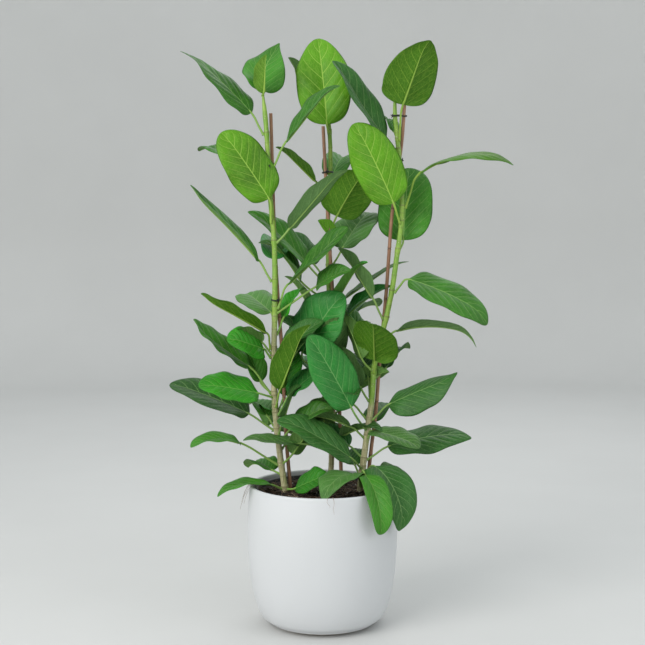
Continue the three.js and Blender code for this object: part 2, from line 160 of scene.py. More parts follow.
# %% [markdown]
# ## Curves and skins
# Stems, petioles, pots and blades are all the same kind of surface: rings of points one after
# another, joined by quads and closed by a pole at each end. So one function makes every skin, and
# the shapes differ only in how their rings are worked out.

# %% Lengths, smooth curves and smooth noise
def unit(vectors):
    """Each vector over its own length."""
    return vectors / np.maximum(np.linalg.norm(vectors, axis=-1, keepdims=True), 1e-12)


def through(knots, values, places):
    """A smooth curve through values at knots, read at places. Between two knots it is the cubic
    whose slope at each knot is that of the parabola through the knot and its two neighbours."""
    knots = np.asarray(knots, float)
    values = np.asarray(values, float).reshape(len(knots), -1)
    slopes = np.gradient(values, knots, axis=0)
    i = np.clip(np.searchsorted(knots, places, side="right") - 1, 0, len(knots) - 2)
    gap = (knots[i + 1] - knots[i])[:, None]
    u = (places - knots[i])[:, None] / gap
    return (
        (2 * u**3 - 3 * u**2 + 1) * values[i]
        + (u**3 - 2 * u**2 + u) * gap * slopes[i]
        + (3 * u**2 - 2 * u**3) * values[i + 1]
        + (u**3 - u**2) * gap * slopes[i + 1]
    )


def wander(places, seed, size):
    """Smooth noise, mostly between -1 and 1: the mean of nine sine waves of random direction and
    of lengths near size, made about twice as tall."""
    chance = np.random.default_rng(seed)
    waves = unit(chance.normal(size=(9, places.shape[-1]))) * chance.uniform(0.6, 1.6, (9, 1))
    phase = chance.uniform(0, 2 * np.pi, 9)
    return 2 * np.sin(places @ waves.T * (2 * np.pi / size) + phase).mean(-1)


def step(low, high, value):
    """0 under low, 1 over high, and a smooth S between."""
    share = np.clip((value - low) / (high - low), 0, 1)
    return share * share * (3 - 2 * share)


print("a smooth curve through 0, 1, 0:", through([0, 1, 2], [0, 1, 0], np.array([0.5])).ravel())

# %% A closed skin over rings
def skin(rings, **values):
    """Quads between neighbouring rings of an (n, m, 3) array, and a fan to a pole at each end. A
    ring runs counter-clockwise about the way the path goes. Values are carried by the points."""
    n, m = rings.shape[:2]
    here = np.arange(n * m).reshape(n, m)
    beside = np.roll(here, -1, 1)
    quads = np.stack([here[:-1], beside[:-1], beside[1:], here[1:]], -1).reshape(-1, 4)
    low = np.stack([np.full(m, n * m), beside[0], here[0]], -1)
    high = np.stack([np.full(m, n * m + 1), here[-1], beside[-1]], -1)
    spread = {name: np.broadcast_to(v, (n, m) + np.shape(v)[2:]) for name, v in values.items()}
    spread["points"] = rings
    flat = {
        name: np.concatenate([v.reshape((n * m,) + v.shape[2:]), v[:1].mean(1), v[-1:].mean(1)])
        for name, v in spread.items()
    }
    return {"quads": quads, "tris": np.concatenate([low, high]), **flat}


def gather(shapes):
    """Several skins as one: their arrays end to end, with face numbers moved up to match."""
    starts = np.cumsum([0] + [len(shape["points"]) for shape in shapes])
    return {
        name: np.concatenate([
            shape[name] + (start if name in ("quads", "tris") else 0)
            for shape, start in zip(shapes, starts)
        ])
        for name in shapes[0]
    }


print("one ring pair makes", len(skin(np.zeros((2, 8, 3)))["quads"]), "quads")

# %% A mesh object from arrays
def piece(name, shape, material, smooth=True):
    """Puts the arrays into a mesh with foreach_set, turns its faces outwards if its signed volume
    is negative, and lets it ride on the plant's one body."""
    points, quads, tris = shape["points"], shape["quads"], shape["tris"]
    halves = np.concatenate([tris, quads[:, :3], quads[:, [0, 2, 3]]])
    a, b, c = (points[halves[:, k]] for k in range(3))
    if np.einsum("ij,ij->", a, np.cross(b, c)) < 0:
        quads, tris = quads[:, ::-1], tris[:, ::-1]
    mesh = bpy.data.meshes.new(name)
    mesh.vertices.add(len(points))
    mesh.vertices.foreach_set("co", points.ravel())
    corners = np.concatenate([quads.ravel(), tris.ravel()])
    mesh.loops.add(len(corners))
    mesh.loops.foreach_set("vertex_index", corners)
    mesh.polygons.add(len(quads) + len(tris))
    starts = np.concatenate([np.arange(len(quads)) * 4, quads.size + np.arange(len(tris)) * 3])
    mesh.polygons.foreach_set("loop_start", starts)
    mesh.polygons.foreach_set("use_smooth", np.full(len(starts), smooth))
    mesh.update(calc_edges=True)
    for key in set(shape) - {"points", "quads", "tris"}:
        kind = "FLOAT_VECTOR" if shape[key].ndim == 2 else "FLOAT"
        field = "vector" if shape[key].ndim == 2 else "value"
        mesh.attributes.new(key, kind, "POINT").data.foreach_set(field, shape[key].ravel())
    mesh.materials.append(material)
    made = bpy.data.objects.new(name, mesh)
    bpy.context.scene.collection.objects.link(made)
    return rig.ride(made, "root")


print("a piece rides on", sorted(frame["bodies"]))

# %% A tube along a path
def circle(sides):
    """Points of a level circle of radius 1."""
    turn = np.linspace(0, 2 * np.pi, sides, endpoint=False)
    return np.stack([np.cos(turn), np.sin(turn), 0 * turn], -1)


def tube(path, radius, sides, up=(0.0, 1.0, 0.0), **values):
    """Circles of the given radii, square to a path: centre + radius (cos a side + sin a normal).
    The side is square to the way ahead and to up."""
    ahead = unit(np.gradient(path, axis=0))
    side = unit(np.cross(np.asarray(up, float), ahead))
    cosine, sine = circle(sides)[:, :2].T[..., None]
    across = cosine * side[:, None] + sine * np.cross(ahead, side)[:, None]
    radius = radius if np.ndim(radius) == 2 else np.reshape(radius, (-1, 1))
    return skin(path[:, None] + radius[..., None] * across, **values)


example = tube(np.array([[0, 0, 0], [0, 0, 1.0]]), [1, 1], 8)
print("a tube of 2 circles has", len(example["points"]), "points")

# %% [markdown]
# ## Reading the solids
# A leaf, a stem or a cane is packed as loose triangles. Welded together they are rings of eight
# points again: the only points with eight neighbours are the two poles, and each step away from a
# pole is the next ring. That gives the centre line, the edges and the midrib of every leaf exactly.

# %% Weld a solid and find its rings
def welded(node):
    """A node's points with doubles joined, and its triangles as numbers of those points."""
    mesh = frame["nodes"][node].data
    corners = np.empty(3 * len(mesh.vertices), np.float32)
    mesh.vertices.foreach_get("co", corners)
    mesh.calc_loop_triangles()
    triangles = np.empty(3 * len(mesh.loop_triangles), np.int32)
    mesh.loop_triangles.foreach_get("vertices", triangles)
    points, number = np.unique(
        np.round(corners.reshape(-1, 3).astype(float), 6), axis=0, return_inverse=True
    )
    return points, number.ravel()[triangles].reshape(-1, 3)


def rings_of(node, from_bottom):
    """The start pole, the rings as (n, 8, 3), and the end pole. Point j + 1 of a ring is the one
    neighbour that points j and j + 1 of the ring before share."""
    points, triangles = welded(node)
    near = np.zeros((len(points), len(points)), bool)
    near[triangles, np.roll(triangles, 1, 1)] = True
    near |= near.T
    poles = np.flatnonzero(near.sum(1) == 8)
    size = [np.ptp(points[near[p]], axis=0).max() for p in poles]
    first = poles[np.argmin(points[poles, 2] if from_bottom else size)]
    steps = np.full(len(points), -1)
    steps[first] = 0
    count = (len(points) - 2) // 8
    for away in range(1, count + 1):
        steps[near[steps == away - 1].any(0) & (steps < 0)] = away
    ring = np.flatnonzero(steps == 1)
    spokes = points[ring] - points[first]
    ahead = unit(points[steps == 2].mean(0) - points[first])
    top = unit(spokes[np.argmin(np.linalg.norm(spokes, axis=1))])
    turn = np.round(np.degrees(np.arctan2(spokes @ np.cross(top, ahead), spokes @ top)) / 45)
    ring = ring[np.argsort((turn + 2) % 8)]
    rings = [ring]
    for away in range(2, count + 1):
        shared = near[ring] & near[np.roll(ring, -1)] & (steps == away)
        ring = np.roll(shared.argmax(1), 1)
        rings.append(ring)
    last = next(p for p in poles if p != first)
    return points[first], points[np.array(rings)], points[last]


print("stem_left has", rings_of("stem_left", True)[1].shape[0], "rings")

# %% [markdown]
# ## Node helpers
# Materials are node trees. A few small helpers keep them readable: one adds a node and joins its
# inputs, one does arithmetic, one blends colours, and one hands the results to the shader.

# %% Node helpers
def add(tree, kind, inputs=(), **settings):
    """A node of a kind, with its settings. Inputs map a socket's name or number to its value or
    link."""
    made = tree.nodes.new(kind)
    for name, value in settings.items():
        setattr(made, name, value)
    for key, value in dict(inputs).items():
        if isinstance(value, bpy.types.NodeSocket):
            tree.links.new(value, made.inputs[key])
        else:
            made.inputs[key].default_value = value
    return made


def calc(tree, operation, *values):
    """The result of a Math node."""
    return add(tree, "ShaderNodeMath", dict(enumerate(values)), operation=operation).outputs[0]


def blend(tree, share, a, b):
    """Colour a where share is 0 and b where it is 1. A colour is a link or three numbers."""
    a, b = (c if isinstance(c, bpy.types.NodeSocket) else (*c, 1) for c in (a, b))
    return add(tree, "ShaderNodeMix", {0: share, 6: a, 7: b}, data_type="RGBA").outputs[2]


def rise(tree, value, low, high, start=0.0, end=1.0):
    """A smooth S from start at low to end at high."""
    inputs = dict(enumerate((value, low, high, start, end)))
    return add(tree, "ShaderNodeMapRange", inputs, interpolation_type="SMOOTHSTEP").outputs[0]


def noise(tree, where, scale, detail=3.0, roughness=0.5):
    """Cloudy noise from 0 to 1."""
    inputs = {"Vector": where, "Scale": scale, "Detail": detail, "Roughness": roughness}
    return add(tree, "ShaderNodeTexNoise", inputs).outputs["Fac"]


def stretched(tree, where, scale):
    """A place scaled by a different amount along each axis."""
    return add(tree, "ShaderNodeMapping", {"Vector": where, "Scale": scale}).outputs[0]


def attribute(tree, name, output="Fac"):
    """A value carried by the mesh's points."""
    return add(tree, "ShaderNodeAttribute", attribute_name=name).outputs[output]


print("node helpers ready")

# %% Materials and node groups
def material(name):
    """A new material, its tree, its Principled BSDF and the Object coordinates."""
    made = bpy.data.materials.new(name)
    made.use_nodes = True
    shader = made.node_tree.nodes["Principled BSDF"]
    where = add(made.node_tree, "ShaderNodeTexCoord").outputs["Object"]
    return made, made.node_tree, shader, where


def bump(tree, height, distance, strength=1.0):
    """The normal of a surface raised by height times distance, in metres."""
    inputs = {"Height": height, "Distance": distance, "Strength": strength}
    return add(tree, "ShaderNodeBump", inputs).outputs[0]


def coat(tree, shader, colour, roughness, normal=None):
    """Gives the shader its colour, roughness and normal. Each is a link or a plain value."""
    for socket, value in {"Base Color": colour, "Roughness": roughness, "Normal": normal}.items():
        if isinstance(value, bpy.types.NodeSocket):
            tree.links.new(value, shader.inputs[socket])
        elif value is not None:
            shader.inputs[socket].default_value = value


def group(name, inputs, outputs):
    """An empty node group with named sockets, and its input and output nodes."""
    tree = bpy.data.node_groups.new(name, "ShaderNodeTree")
    for way, sockets in (("INPUT", inputs), ("OUTPUT", outputs)):
        for socket, kind in sockets.items():
            tree.interface.new_socket(socket, in_out=way, socket_type="NodeSocket" + kind)
    return tree, tree.nodes.new("NodeGroupInput"), tree.nodes.new("NodeGroupOutput")


def placed(tree, grouped, inputs=()):
    """A node group placed in a material, with its own values."""
    return add(tree, "ShaderNodeGroup", inputs, node_tree=grouped)


print("material helpers ready")

# %% [markdown]
# ## Veins
# A fig's side veins leave the midrib in turn, left and right, and curve towards the tip. If the
# veins are numbered from the base, then "which vein is here" is a smooth number over the blade: it
# grows towards the tip and falls towards the margin. The same number drives the mesh, where the
# blade swells between veins, and the shader, where a thin pale line marks each one.

# %% Which vein is here
LEAN, LESS, CURVE, OFFSET = 0.4, 0.22, 0.08, 0.38


def vein_number(t, v, phase, count):
    """t is the share of the way to the tip, and v is -1 at the right edge and 1 at the left. The
    vein at v leaves the midrib lower down, by |v| (LEAN - LESS t) + CURVE v^2, and the left half is
    OFFSET of a vein ahead of the right. Halves are veins."""
    a = np.abs(v)
    return (t - a * (LEAN - LESS * t) - CURVE * a * a) * count + phase + OFFSET * (v > 0)


print("vein number at mid blade:", float(vein_number(0.5, 0.5, 0.1, 7)))

# %% The same number as a node group
outputs = dict.fromkeys(["Veins", "Net", "Upper", "Tint", "Height"], "Float")
veins, _, veins_out = group("leaf_veins", {}, outputs)
(along, aside, upper), (phase, count, tint) = (
    add(veins, "ShaderNodeSeparateXYZ", {0: attribute(veins, name, "Vector")}).outputs
    for name in ("place", "growth")
)
outwards = calc(veins, "ABSOLUTE", aside)
lean = calc(veins, "MULTIPLY", outwards, calc(veins, "MULTIPLY_ADD", along, -LESS, LEAN))
curve = calc(veins, "MULTIPLY", calc(veins, "MULTIPLY", outwards, outwards), CURVE)
foot = calc(veins, "SUBTRACT", calc(veins, "SUBTRACT", along, lean), curve)
turn = calc(veins, "MULTIPLY_ADD", calc(veins, "GREATER_THAN", aside, 0.0), OFFSET, phase)
number = calc(veins, "MULTIPLY_ADD", foot, count, turn)
print("the number takes", len(veins.nodes), "nodes")

# %% Lines where the number is a half
off_vein = calc(veins, "ABSOLUTE", calc(veins, "SUBTRACT", calc(veins, "FRACT", number), 0.5))
wide = calc(veins, "MULTIPLY_ADD", outwards, -0.03, 0.052)
thin_line = rise(veins, off_vein, calc(veins, "MULTIPLY", wide, 0.3), wide, 1.0, 0.0)
side_veins = calc(veins, "MULTIPLY", thin_line, rise(veins, outwards, 0.8, 0.97, 1.0, 0.0))
narrowing = calc(veins, "MULTIPLY_ADD", along, 0.6, 1.0)
midrib = rise(veins, calc(veins, "MULTIPLY", outwards, narrowing), 0.014, 0.04, 1.0, 0.0)
all_veins = calc(veins, "MAXIMUM", side_veins, midrib)
spread = {0: calc(veins, "MULTIPLY", number, 2.6), 1: calc(veins, "MULTIPLY", aside, 9.0)}
spread = add(veins, "ShaderNodeCombineXYZ", spread).outputs[0]
cells = {"Vector": spread, "Scale": 1.0}
cells = add(veins, "ShaderNodeTexVoronoi", cells, feature="DISTANCE_TO_EDGE").outputs["Distance"]
net = rise(veins, cells, 0.02, 0.12, 1.0, 0.0)
facing = calc(veins, "MULTIPLY_ADD", upper, -2.0, 1.0)
height = calc(veins, "MULTIPLY", calc(veins, "MULTIPLY_ADD", net, 0.18, all_veins), facing)
for socket, value in zip(outputs, (all_veins, net, upper, tint, height)):
    veins.links.new(value, veins_out.inputs[socket])
print("leaf_veins has", len(veins.nodes), "nodes")

# %% [markdown]
# ## The colours of a leaf
# New leaves at the top are lime, and they darken with age. The upper face is waxy and takes a soft
# shine. The underside is paler and dull. Both share one vein group, and each age has its own
# colours. Cloudy noise and a tint for each leaf keep two neighbours from looking stamped out.

# %% Leaf materials
def leaf_material(age, upper, lower, vein, shine):
    """A leaf's finish: the colours of its upper face, lower face and veins, and its roughness."""
    made, tree, shader, where = material("leaf_" + age)
    marks = placed(tree, veins).outputs
    cloud = calc(tree, "MULTIPLY_ADD", marks["Tint"], 0.22, noise(tree, where, 22.0, 4.0))
    patch = rise(tree, cloud, 0.2, 0.85)

    def face(dark, light, net, line):
        """Clouds from dark to light, with the fine net and then the veins over them."""
        ground = blend(tree, patch, dark, light)
        ground = blend(tree, calc(tree, "MULTIPLY", marks["Net"], net), ground, vein)
        return blend(tree, calc(tree, "MULTIPLY", marks["Veins"], line), ground, vein)

    top = face(np.multiply(upper, 0.62), np.multiply(upper, 1.25), 0.16, 0.85)
    below = face(np.multiply(lower, 0.8), lower, 0.25, 0.8)
    rib = np.add(vein, (0.24, 0.36, 0.07)) / 2
    both = blend(tree, rise(tree, marks["Upper"], 0.3, 0.7), below, top)
    gloss = calc(tree, "MULTIPLY_ADD", noise(tree, where, 60.0, 3.0), 0.14, shine - 0.07)
    dull = rise(tree, marks["Upper"], 0.3, 0.7, 0.2, 0.0)
    grain = calc(tree, "MULTIPLY_ADD", noise(tree, where, 900.0, 2.0), 0.12, marks["Height"])
    coat(
        tree, shader, blend(tree, attribute(tree, "rib"), both, rib),
        calc(tree, "ADD", gloss, dull), bump(tree, grain, 0.0004, 0.8),
    )
    shader.inputs["Specular IOR Level"].default_value = 0.28
    return made


# Upper face, lower face, veins, and roughness.
leaf_colours = {
    "lime": ((0.082, 0.255, 0.004), (0.1, 0.25, 0.016), (0.33, 0.54, 0.08), 0.5),
    "bright": ((0.028, 0.28, 0.008), (0.1, 0.27, 0.04), (0.2, 0.46, 0.09), 0.48),
    "green": ((0.038, 0.19, 0.011), (0.11, 0.24, 0.05), (0.22, 0.42, 0.1), 0.48),
    "teal": ((0.02, 0.18, 0.024), (0.09, 0.23, 0.06), (0.17, 0.4, 0.12), 0.48),
    "deep": ((0.026, 0.125, 0.016), (0.09, 0.2, 0.05), (0.19, 0.35, 0.11), 0.5),
    "olive": ((0.05, 0.17, 0.005), (0.058, 0.185, 0.004), (0.22, 0.38, 0.04), 0.5),
    "grey": ((0.068, 0.2, 0.036), (0.12, 0.25, 0.075), (0.25, 0.42, 0.14), 0.48),
}
leaf_materials = {"leaf_" + age: leaf_material(age, *look) for age, look in leaf_colours.items()}
print(sorted(leaf_materials))

# %% [markdown]
# ## Shaping a leaf
# The solid of a leaf is a faceted sketch: seven sections of the blade and three of the petiole. A
# finished leaf runs smooth curves through them, and adds what a real one has: a rounded outline,
# halves that arch a little, swellings between the veins, a wavy margin, and a midrib that stands
# out below as a tapering rod, which is the petiole carried on. Half-widths are smoothed as squares,
# because the square of an oval's width goes to zero in a straight line, which keeps its ends round.
# The tip curls down, as it does on a blade that has grown heavy.

# %% A leaf's plan, read from its solid
STATIONS = np.array([0, 0.07, 0.24, 0.46, 0.68, 0.87, 0.97, 1])


def plan_of(node):
    """Centre line, edge directions and half-widths at the stations of the solid's blade."""
    start, rings, tip = rings_of(node, False)
    left, right = rings[3:, 4] - rings[3:, 2], rings[3:, 0] - rings[3:, 2]
    half = (np.linalg.norm(left, axis=1) + np.linalg.norm(right, axis=1)) / 2
    return {
        "petiole": np.concatenate([start[None], rings[1:3, [0, 4]].mean(1), rings[3:4, 2]]),
        "midrib": np.concatenate([rings[3:, 2], tip[None]]),
        "left": unit(np.concatenate([left, left[-1:]])),
        "right": unit(np.concatenate([right, right[-1:]])),
        "half": np.append(half, 0.0),
    }


plans = {node: plan_of(node) for node in sorted(frame["nodes"]) if node.startswith("leaf_")}
lengths = [np.linalg.norm(np.diff(p["midrib"], axis=0), axis=1).sum() for p in plans.values()]
print(len(plans), "blades,", round(min(lengths), 3), "to", round(max(lengths), 3), "m long")

# %% A leaf's own bend
def turned_about(vectors, axis, degrees):
    """Vectors turned about an axis: v cos d + (axis x v) sin d, for vectors square to the axis."""
    angle = np.radians(degrees)[:, None]
    return vectors * np.cos(angle) + np.cross(axis, vectors) * np.sin(angle)


def bent(plan, fold=0, twist=0, curl=None, sharp=None):
    """Halves folded up about the midrib by some degrees, and both turned about it more and more
    towards the tip. Curl and sharp are kept for the blade."""
    ahead = unit(np.gradient(plan["midrib"], STATIONS, axis=0))
    later = twist * step(0.1, 0.9, STATIONS)
    eased_in = fold * step(-0.1, 0.2, STATIONS)
    made = {**plan, "curl": curl, "sharp": sharp}
    for side, up in (("left", -1), ("right", 1)):
        square = unit(plan[side] - (plan[side] * ahead).sum(1, keepdims=True) * ahead)
        made[side] = turned_about(square, ahead, later + up * eased_in)
    return made


habits = {
    "leaf_left_01": {"curl": 0.1, "sharp": 0.1},
    "leaf_left_03": {"curl": -0.25, "sharp": 0.5, "fold": 12},
    "leaf_left_06": {"sharp": 0.0},
    "leaf_left_08": {"curl": 0.35, "sharp": 0.55},
    "leaf_left_13": {"curl": 0.3, "sharp": 0.0},
    "leaf_left_11": {"curl": 0.3, "sharp": 0.1},
    "leaf_right_03": {"sharp": 0.05},
    "leaf_right_04": {"twist": 42, "fold": 18, "sharp": 0.45},
    "leaf_right_06": {"sharp": 0.1, "fold": 8},
    "leaf_right_07": {"curl": -0.7, "sharp": 0.8},
    "leaf_right_12": {"sharp": 0.6},
    "leaf_right_13": {"sharp": 0.6},
    "leaf_right_15": {"fold": 34, "curl": 0.3, "sharp": 0.7},
    "leaf_right_17": {"fold": 14, "sharp": 0.5},
}
print(len(habits), "leaves have a bend of their own")

# %% The blade
ALONG, ACROSS = 58, 25
SWELLING, WAVES, HALF_THICKNESS = 0.0008, 0.05, 0.00028
VEINS_A_SIDE = 6.2, 7.8


def own_or(plan, key, by_chance):
    """A leaf's own value, or the one drawn by chance."""
    return plan[key] if plan.get(key) is not None else by_chance


def blade(plan, chance):
    """Point (t, v): the midrib at t, plus |v| half-widths towards one edge, plus a lift along the
    upper normal: an arch in |v| (1 - |v|), swellings cos(2 pi vein number), and margin waves."""
    share = (1 - np.cos(np.linspace(0, np.pi, ALONG + 2)[1:-1])) / 2
    midrib = through(STATIONS, plan["midrib"], share)
    left, right = (
        unit(through(STATIONS, plan[side], share))[:, None] for side in ("left", "right")
    )
    half = np.sqrt(np.maximum(through(STATIONS, plan["half"] ** 2, share), 1e-9))
    sharp = own_or(plan, "sharp", chance.uniform(0, 0.5))
    tip_curl = own_or(plan, "curl", -chance.uniform(0.1, 0.5))
    half = half * (1 - sharp * step(0.55, 1.1, share))[:, None]
    ahead = unit(np.gradient(midrib, share, axis=0))[:, None]
    up = unit(np.cross(ahead, left - right))
    over = np.linspace(1, -1, ACROSS)
    v = np.concatenate([over, over[-2:0:-1]])[None]
    face = np.concatenate([[0], np.ones(ACROSS - 2), [0], -np.ones(ACROSS - 2)])[None]
    t, a = share[:, None], np.abs(v)
    phase, count, tint = chance.uniform(0, 1), chance.uniform(*VEINS_A_SIDE), chance.uniform(-1, 1)
    between = np.cos(2 * np.pi * vein_number(t, v, phase, count)) * step(0, 0.3, a) * (1 - a**4)
    length, start = chance.uniform(1.6, 2.8), np.where(v > 0, chance.uniform(), chance.uniform())
    wave = np.sin(2 * np.pi * (t * length + start))
    grid = np.stack(np.broadcast_arrays(t * 3, v, 0 * t), -1)
    ripple = wander(grid, int(chance.integers(999)), 1.2)
    margin = (WAVES * wave + WAVES * ripple) * half * a**3
    curl = tip_curl * half.max() * step(0.6, 1.1, t) ** 2 * t
    arch = half * (0.2 * a * (1 - a) - 0.05 * a**4)
    thick = HALF_THICKNESS * np.sqrt(1 - a**6) * face
    lift = arch + margin + curl + SWELLING * between * np.sqrt(np.sin(np.pi * t)) + thick
    edge = np.where((v > 0)[..., None], left, right)
    points = midrib[:, None] + edge * (a * half)[..., None] + up * lift[..., None]
    where = np.stack(np.broadcast_arrays(t, v, (face + 1) / 2), -1)
    growth = np.broadcast_to(np.array([phase, count, tint]), where.shape)
    surface = skin(points, place=where, growth=growth, rib=np.zeros((1, 1)))
    return surface, up[:, 0], midrib + up[:, 0] * curl, share


print("a blade has", 2 * ALONG * (2 * ACROSS - 2), "triangles")

# %% A whole leaf
PETIOLE_RADIUS, RIB_RADIUS = 0.00165, 0.0015


def petiole_and_rib(plan, up, midrib, share):
    """One tapering rod: from inside the stem along the petiole, then under the blade to its tip."""
    stalk = through([0, 0.4, 0.8, 1], plan["petiole"], np.linspace(0, 0.97, 14))
    rooted = plan["petiole"][0] - 0.0022 * unit(plan["petiole"][1] - plan["petiole"][0])
    s = np.linspace(0, 0.965, 34)
    rod = RIB_RADIUS * (1 - s) ** 1.1 + 0.0002
    sunk = (0.85 * rod * step(0, 0.06, s))[:, None]
    under, normal = (
        np.stack([np.interp(s, share, rows[:, k]) for k in range(3)], -1) for rows in (midrib, up)
    )
    path = np.concatenate([rooted[None], stalk, under - sunk * normal])
    petiole = PETIOLE_RADIUS + 0.0009 * np.exp(-np.linspace(0, 8, 15))
    place, none = np.zeros((2, len(path), 1, 3))
    place[15:, 0, 0] = s
    return tube(
        path, np.concatenate([petiole, rod]), 10, -up.mean(0),
        place=place, growth=none, rib=np.ones((1, 1)),
    )


def leaf(name, plan, finish, number):
    """A whole leaf in one mesh: the blade, and the rod of its petiole and midrib."""
    chance = np.random.default_rng(number)
    surface, *along = blade(plan, chance)
    return piece(name, gather([surface, petiole_and_rib(plan, *along)]), leaf_materials[finish])


for number, (node, plan) in enumerate(plans.items()):
    own = bent(plan, **habits.get(node, {}))
    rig.replaces(leaf(node.replace("leaf_", "fig_leaf_"), own, slot_of[node], number), node)
print("made", len(plans), "leaves")

# %% [markdown]
# ## The leaves behind
# The solids hold the leaves that give the plant its outline. A real fig also has leaves on the far
# side of its stems and small ones inside. Each is grown from where its petiole leaves its stem, a
# few angles and a few lengths, so a row of numbers is a leaf.

# %% Where a stem is at a height
def course(node):
    """Heights of a stem's or cane's rings, with x, y and radius at each, and its end. The bud of a
    stem is drawn out by 9 mm, between the bases of its last leaves."""
    start, rings, end = rings_of(node, True)
    centre = rings.mean(1)
    radius = np.linalg.norm(rings - centre[:, None], axis=2).mean(1)
    if node.startswith("stem_"):
        end = end + 0.009 * unit(end - centre[-4])
    return centre[:, 2], np.column_stack([centre[:, :2], radius]), end


upright = sorted(node for node in frame["nodes"] if node.startswith(("stem_", "stake_")))
courses = {node: course(node) for node in upright}


def centre_at(node, height):
    """The centre of a stem or cane at a height."""
    heights, rows, _ = courses[node]
    return np.append(through(heights, rows, np.array([height]))[0, :2], height)


print("stem_left at 0.5 m is at", np.round(centre_at("stem_left", 0.5), 3))

# %% A leaf's plan from angles
def aim(heading, rise, roll=0.0):
    """A unit vector with this compass heading and rise, and the side square to it, rolled."""
    h, r, o = np.radians([heading, rise, roll])
    ahead = np.array([np.cos(r) * np.cos(h), np.cos(r) * np.sin(h), np.sin(r)])
    level = np.array([-np.sin(h), np.cos(h), 0])
    return ahead, level * np.cos(o) + np.cross(ahead, level) * np.sin(o)


FOLD = 24


def grown(stem, height, petiole, shape, droop=20, roll=0):
    """The same plan as a solid gives, from lengths in millimetres. Its half-width is an oval,
    W/2 sqrt(1 - |2 t^0.84 - 1|^2.3), and its halves are folded up about the midrib."""
    heading, rise, reach = petiole
    towards, slope, length, width = shape
    height, reach, length, width = (size / 1000 for size in (height, reach, length, width))
    foot = centre_at("stem_" + stem, height)
    start = foot + 0.0055 * aim(heading, 0)[0]
    base = foot + reach * aim(heading, rise)[0]
    pull = np.linalg.norm(base - start) / 3
    leaving, arriving = aim(heading, rise)[0], aim(towards, slope)[0]
    ends = np.array([start, start + pull * leaving, base - pull * arriving, base])
    u = np.array([0, 0.4, 0.8, 1])[:, None]
    stalk = np.hstack([(1 - u) ** 3, 3 * u * (1 - u) ** 2, 3 * u * u * (1 - u), u**3]) @ ends
    t = STATIONS
    rises = slope + droop * (0.5 - t)
    ahead, side = (np.array(rows) for rows in zip(*[aim(towards, r, roll) for r in rises]))
    spine = np.vstack([[0, 0, 0], np.cumsum((ahead[1:] + ahead[:-1]) / 2 * np.diff(t)[:, None], 0)])
    up = np.cross(ahead, side)
    bent = np.radians(FOLD) * np.minimum(1, t * 8)[:, None]
    half = width / 2 * np.sqrt(np.maximum(1 - np.abs(2 * t**0.84 - 1) ** 2.3, 0))
    return {
        "petiole": stalk,
        "midrib": base + length * spine,
        "left": side * np.cos(bent) + up * np.sin(bent),
        "right": -side * np.cos(bent) + up * np.sin(bent),
        "half": np.maximum(half, [0.0015] * 7 + [0]),
    }


example = grown("left", 500, (0, 30, 50), (0, 30, 70, 40))
print("a grown leaf ends at", np.round(example["midrib"][-1], 3))

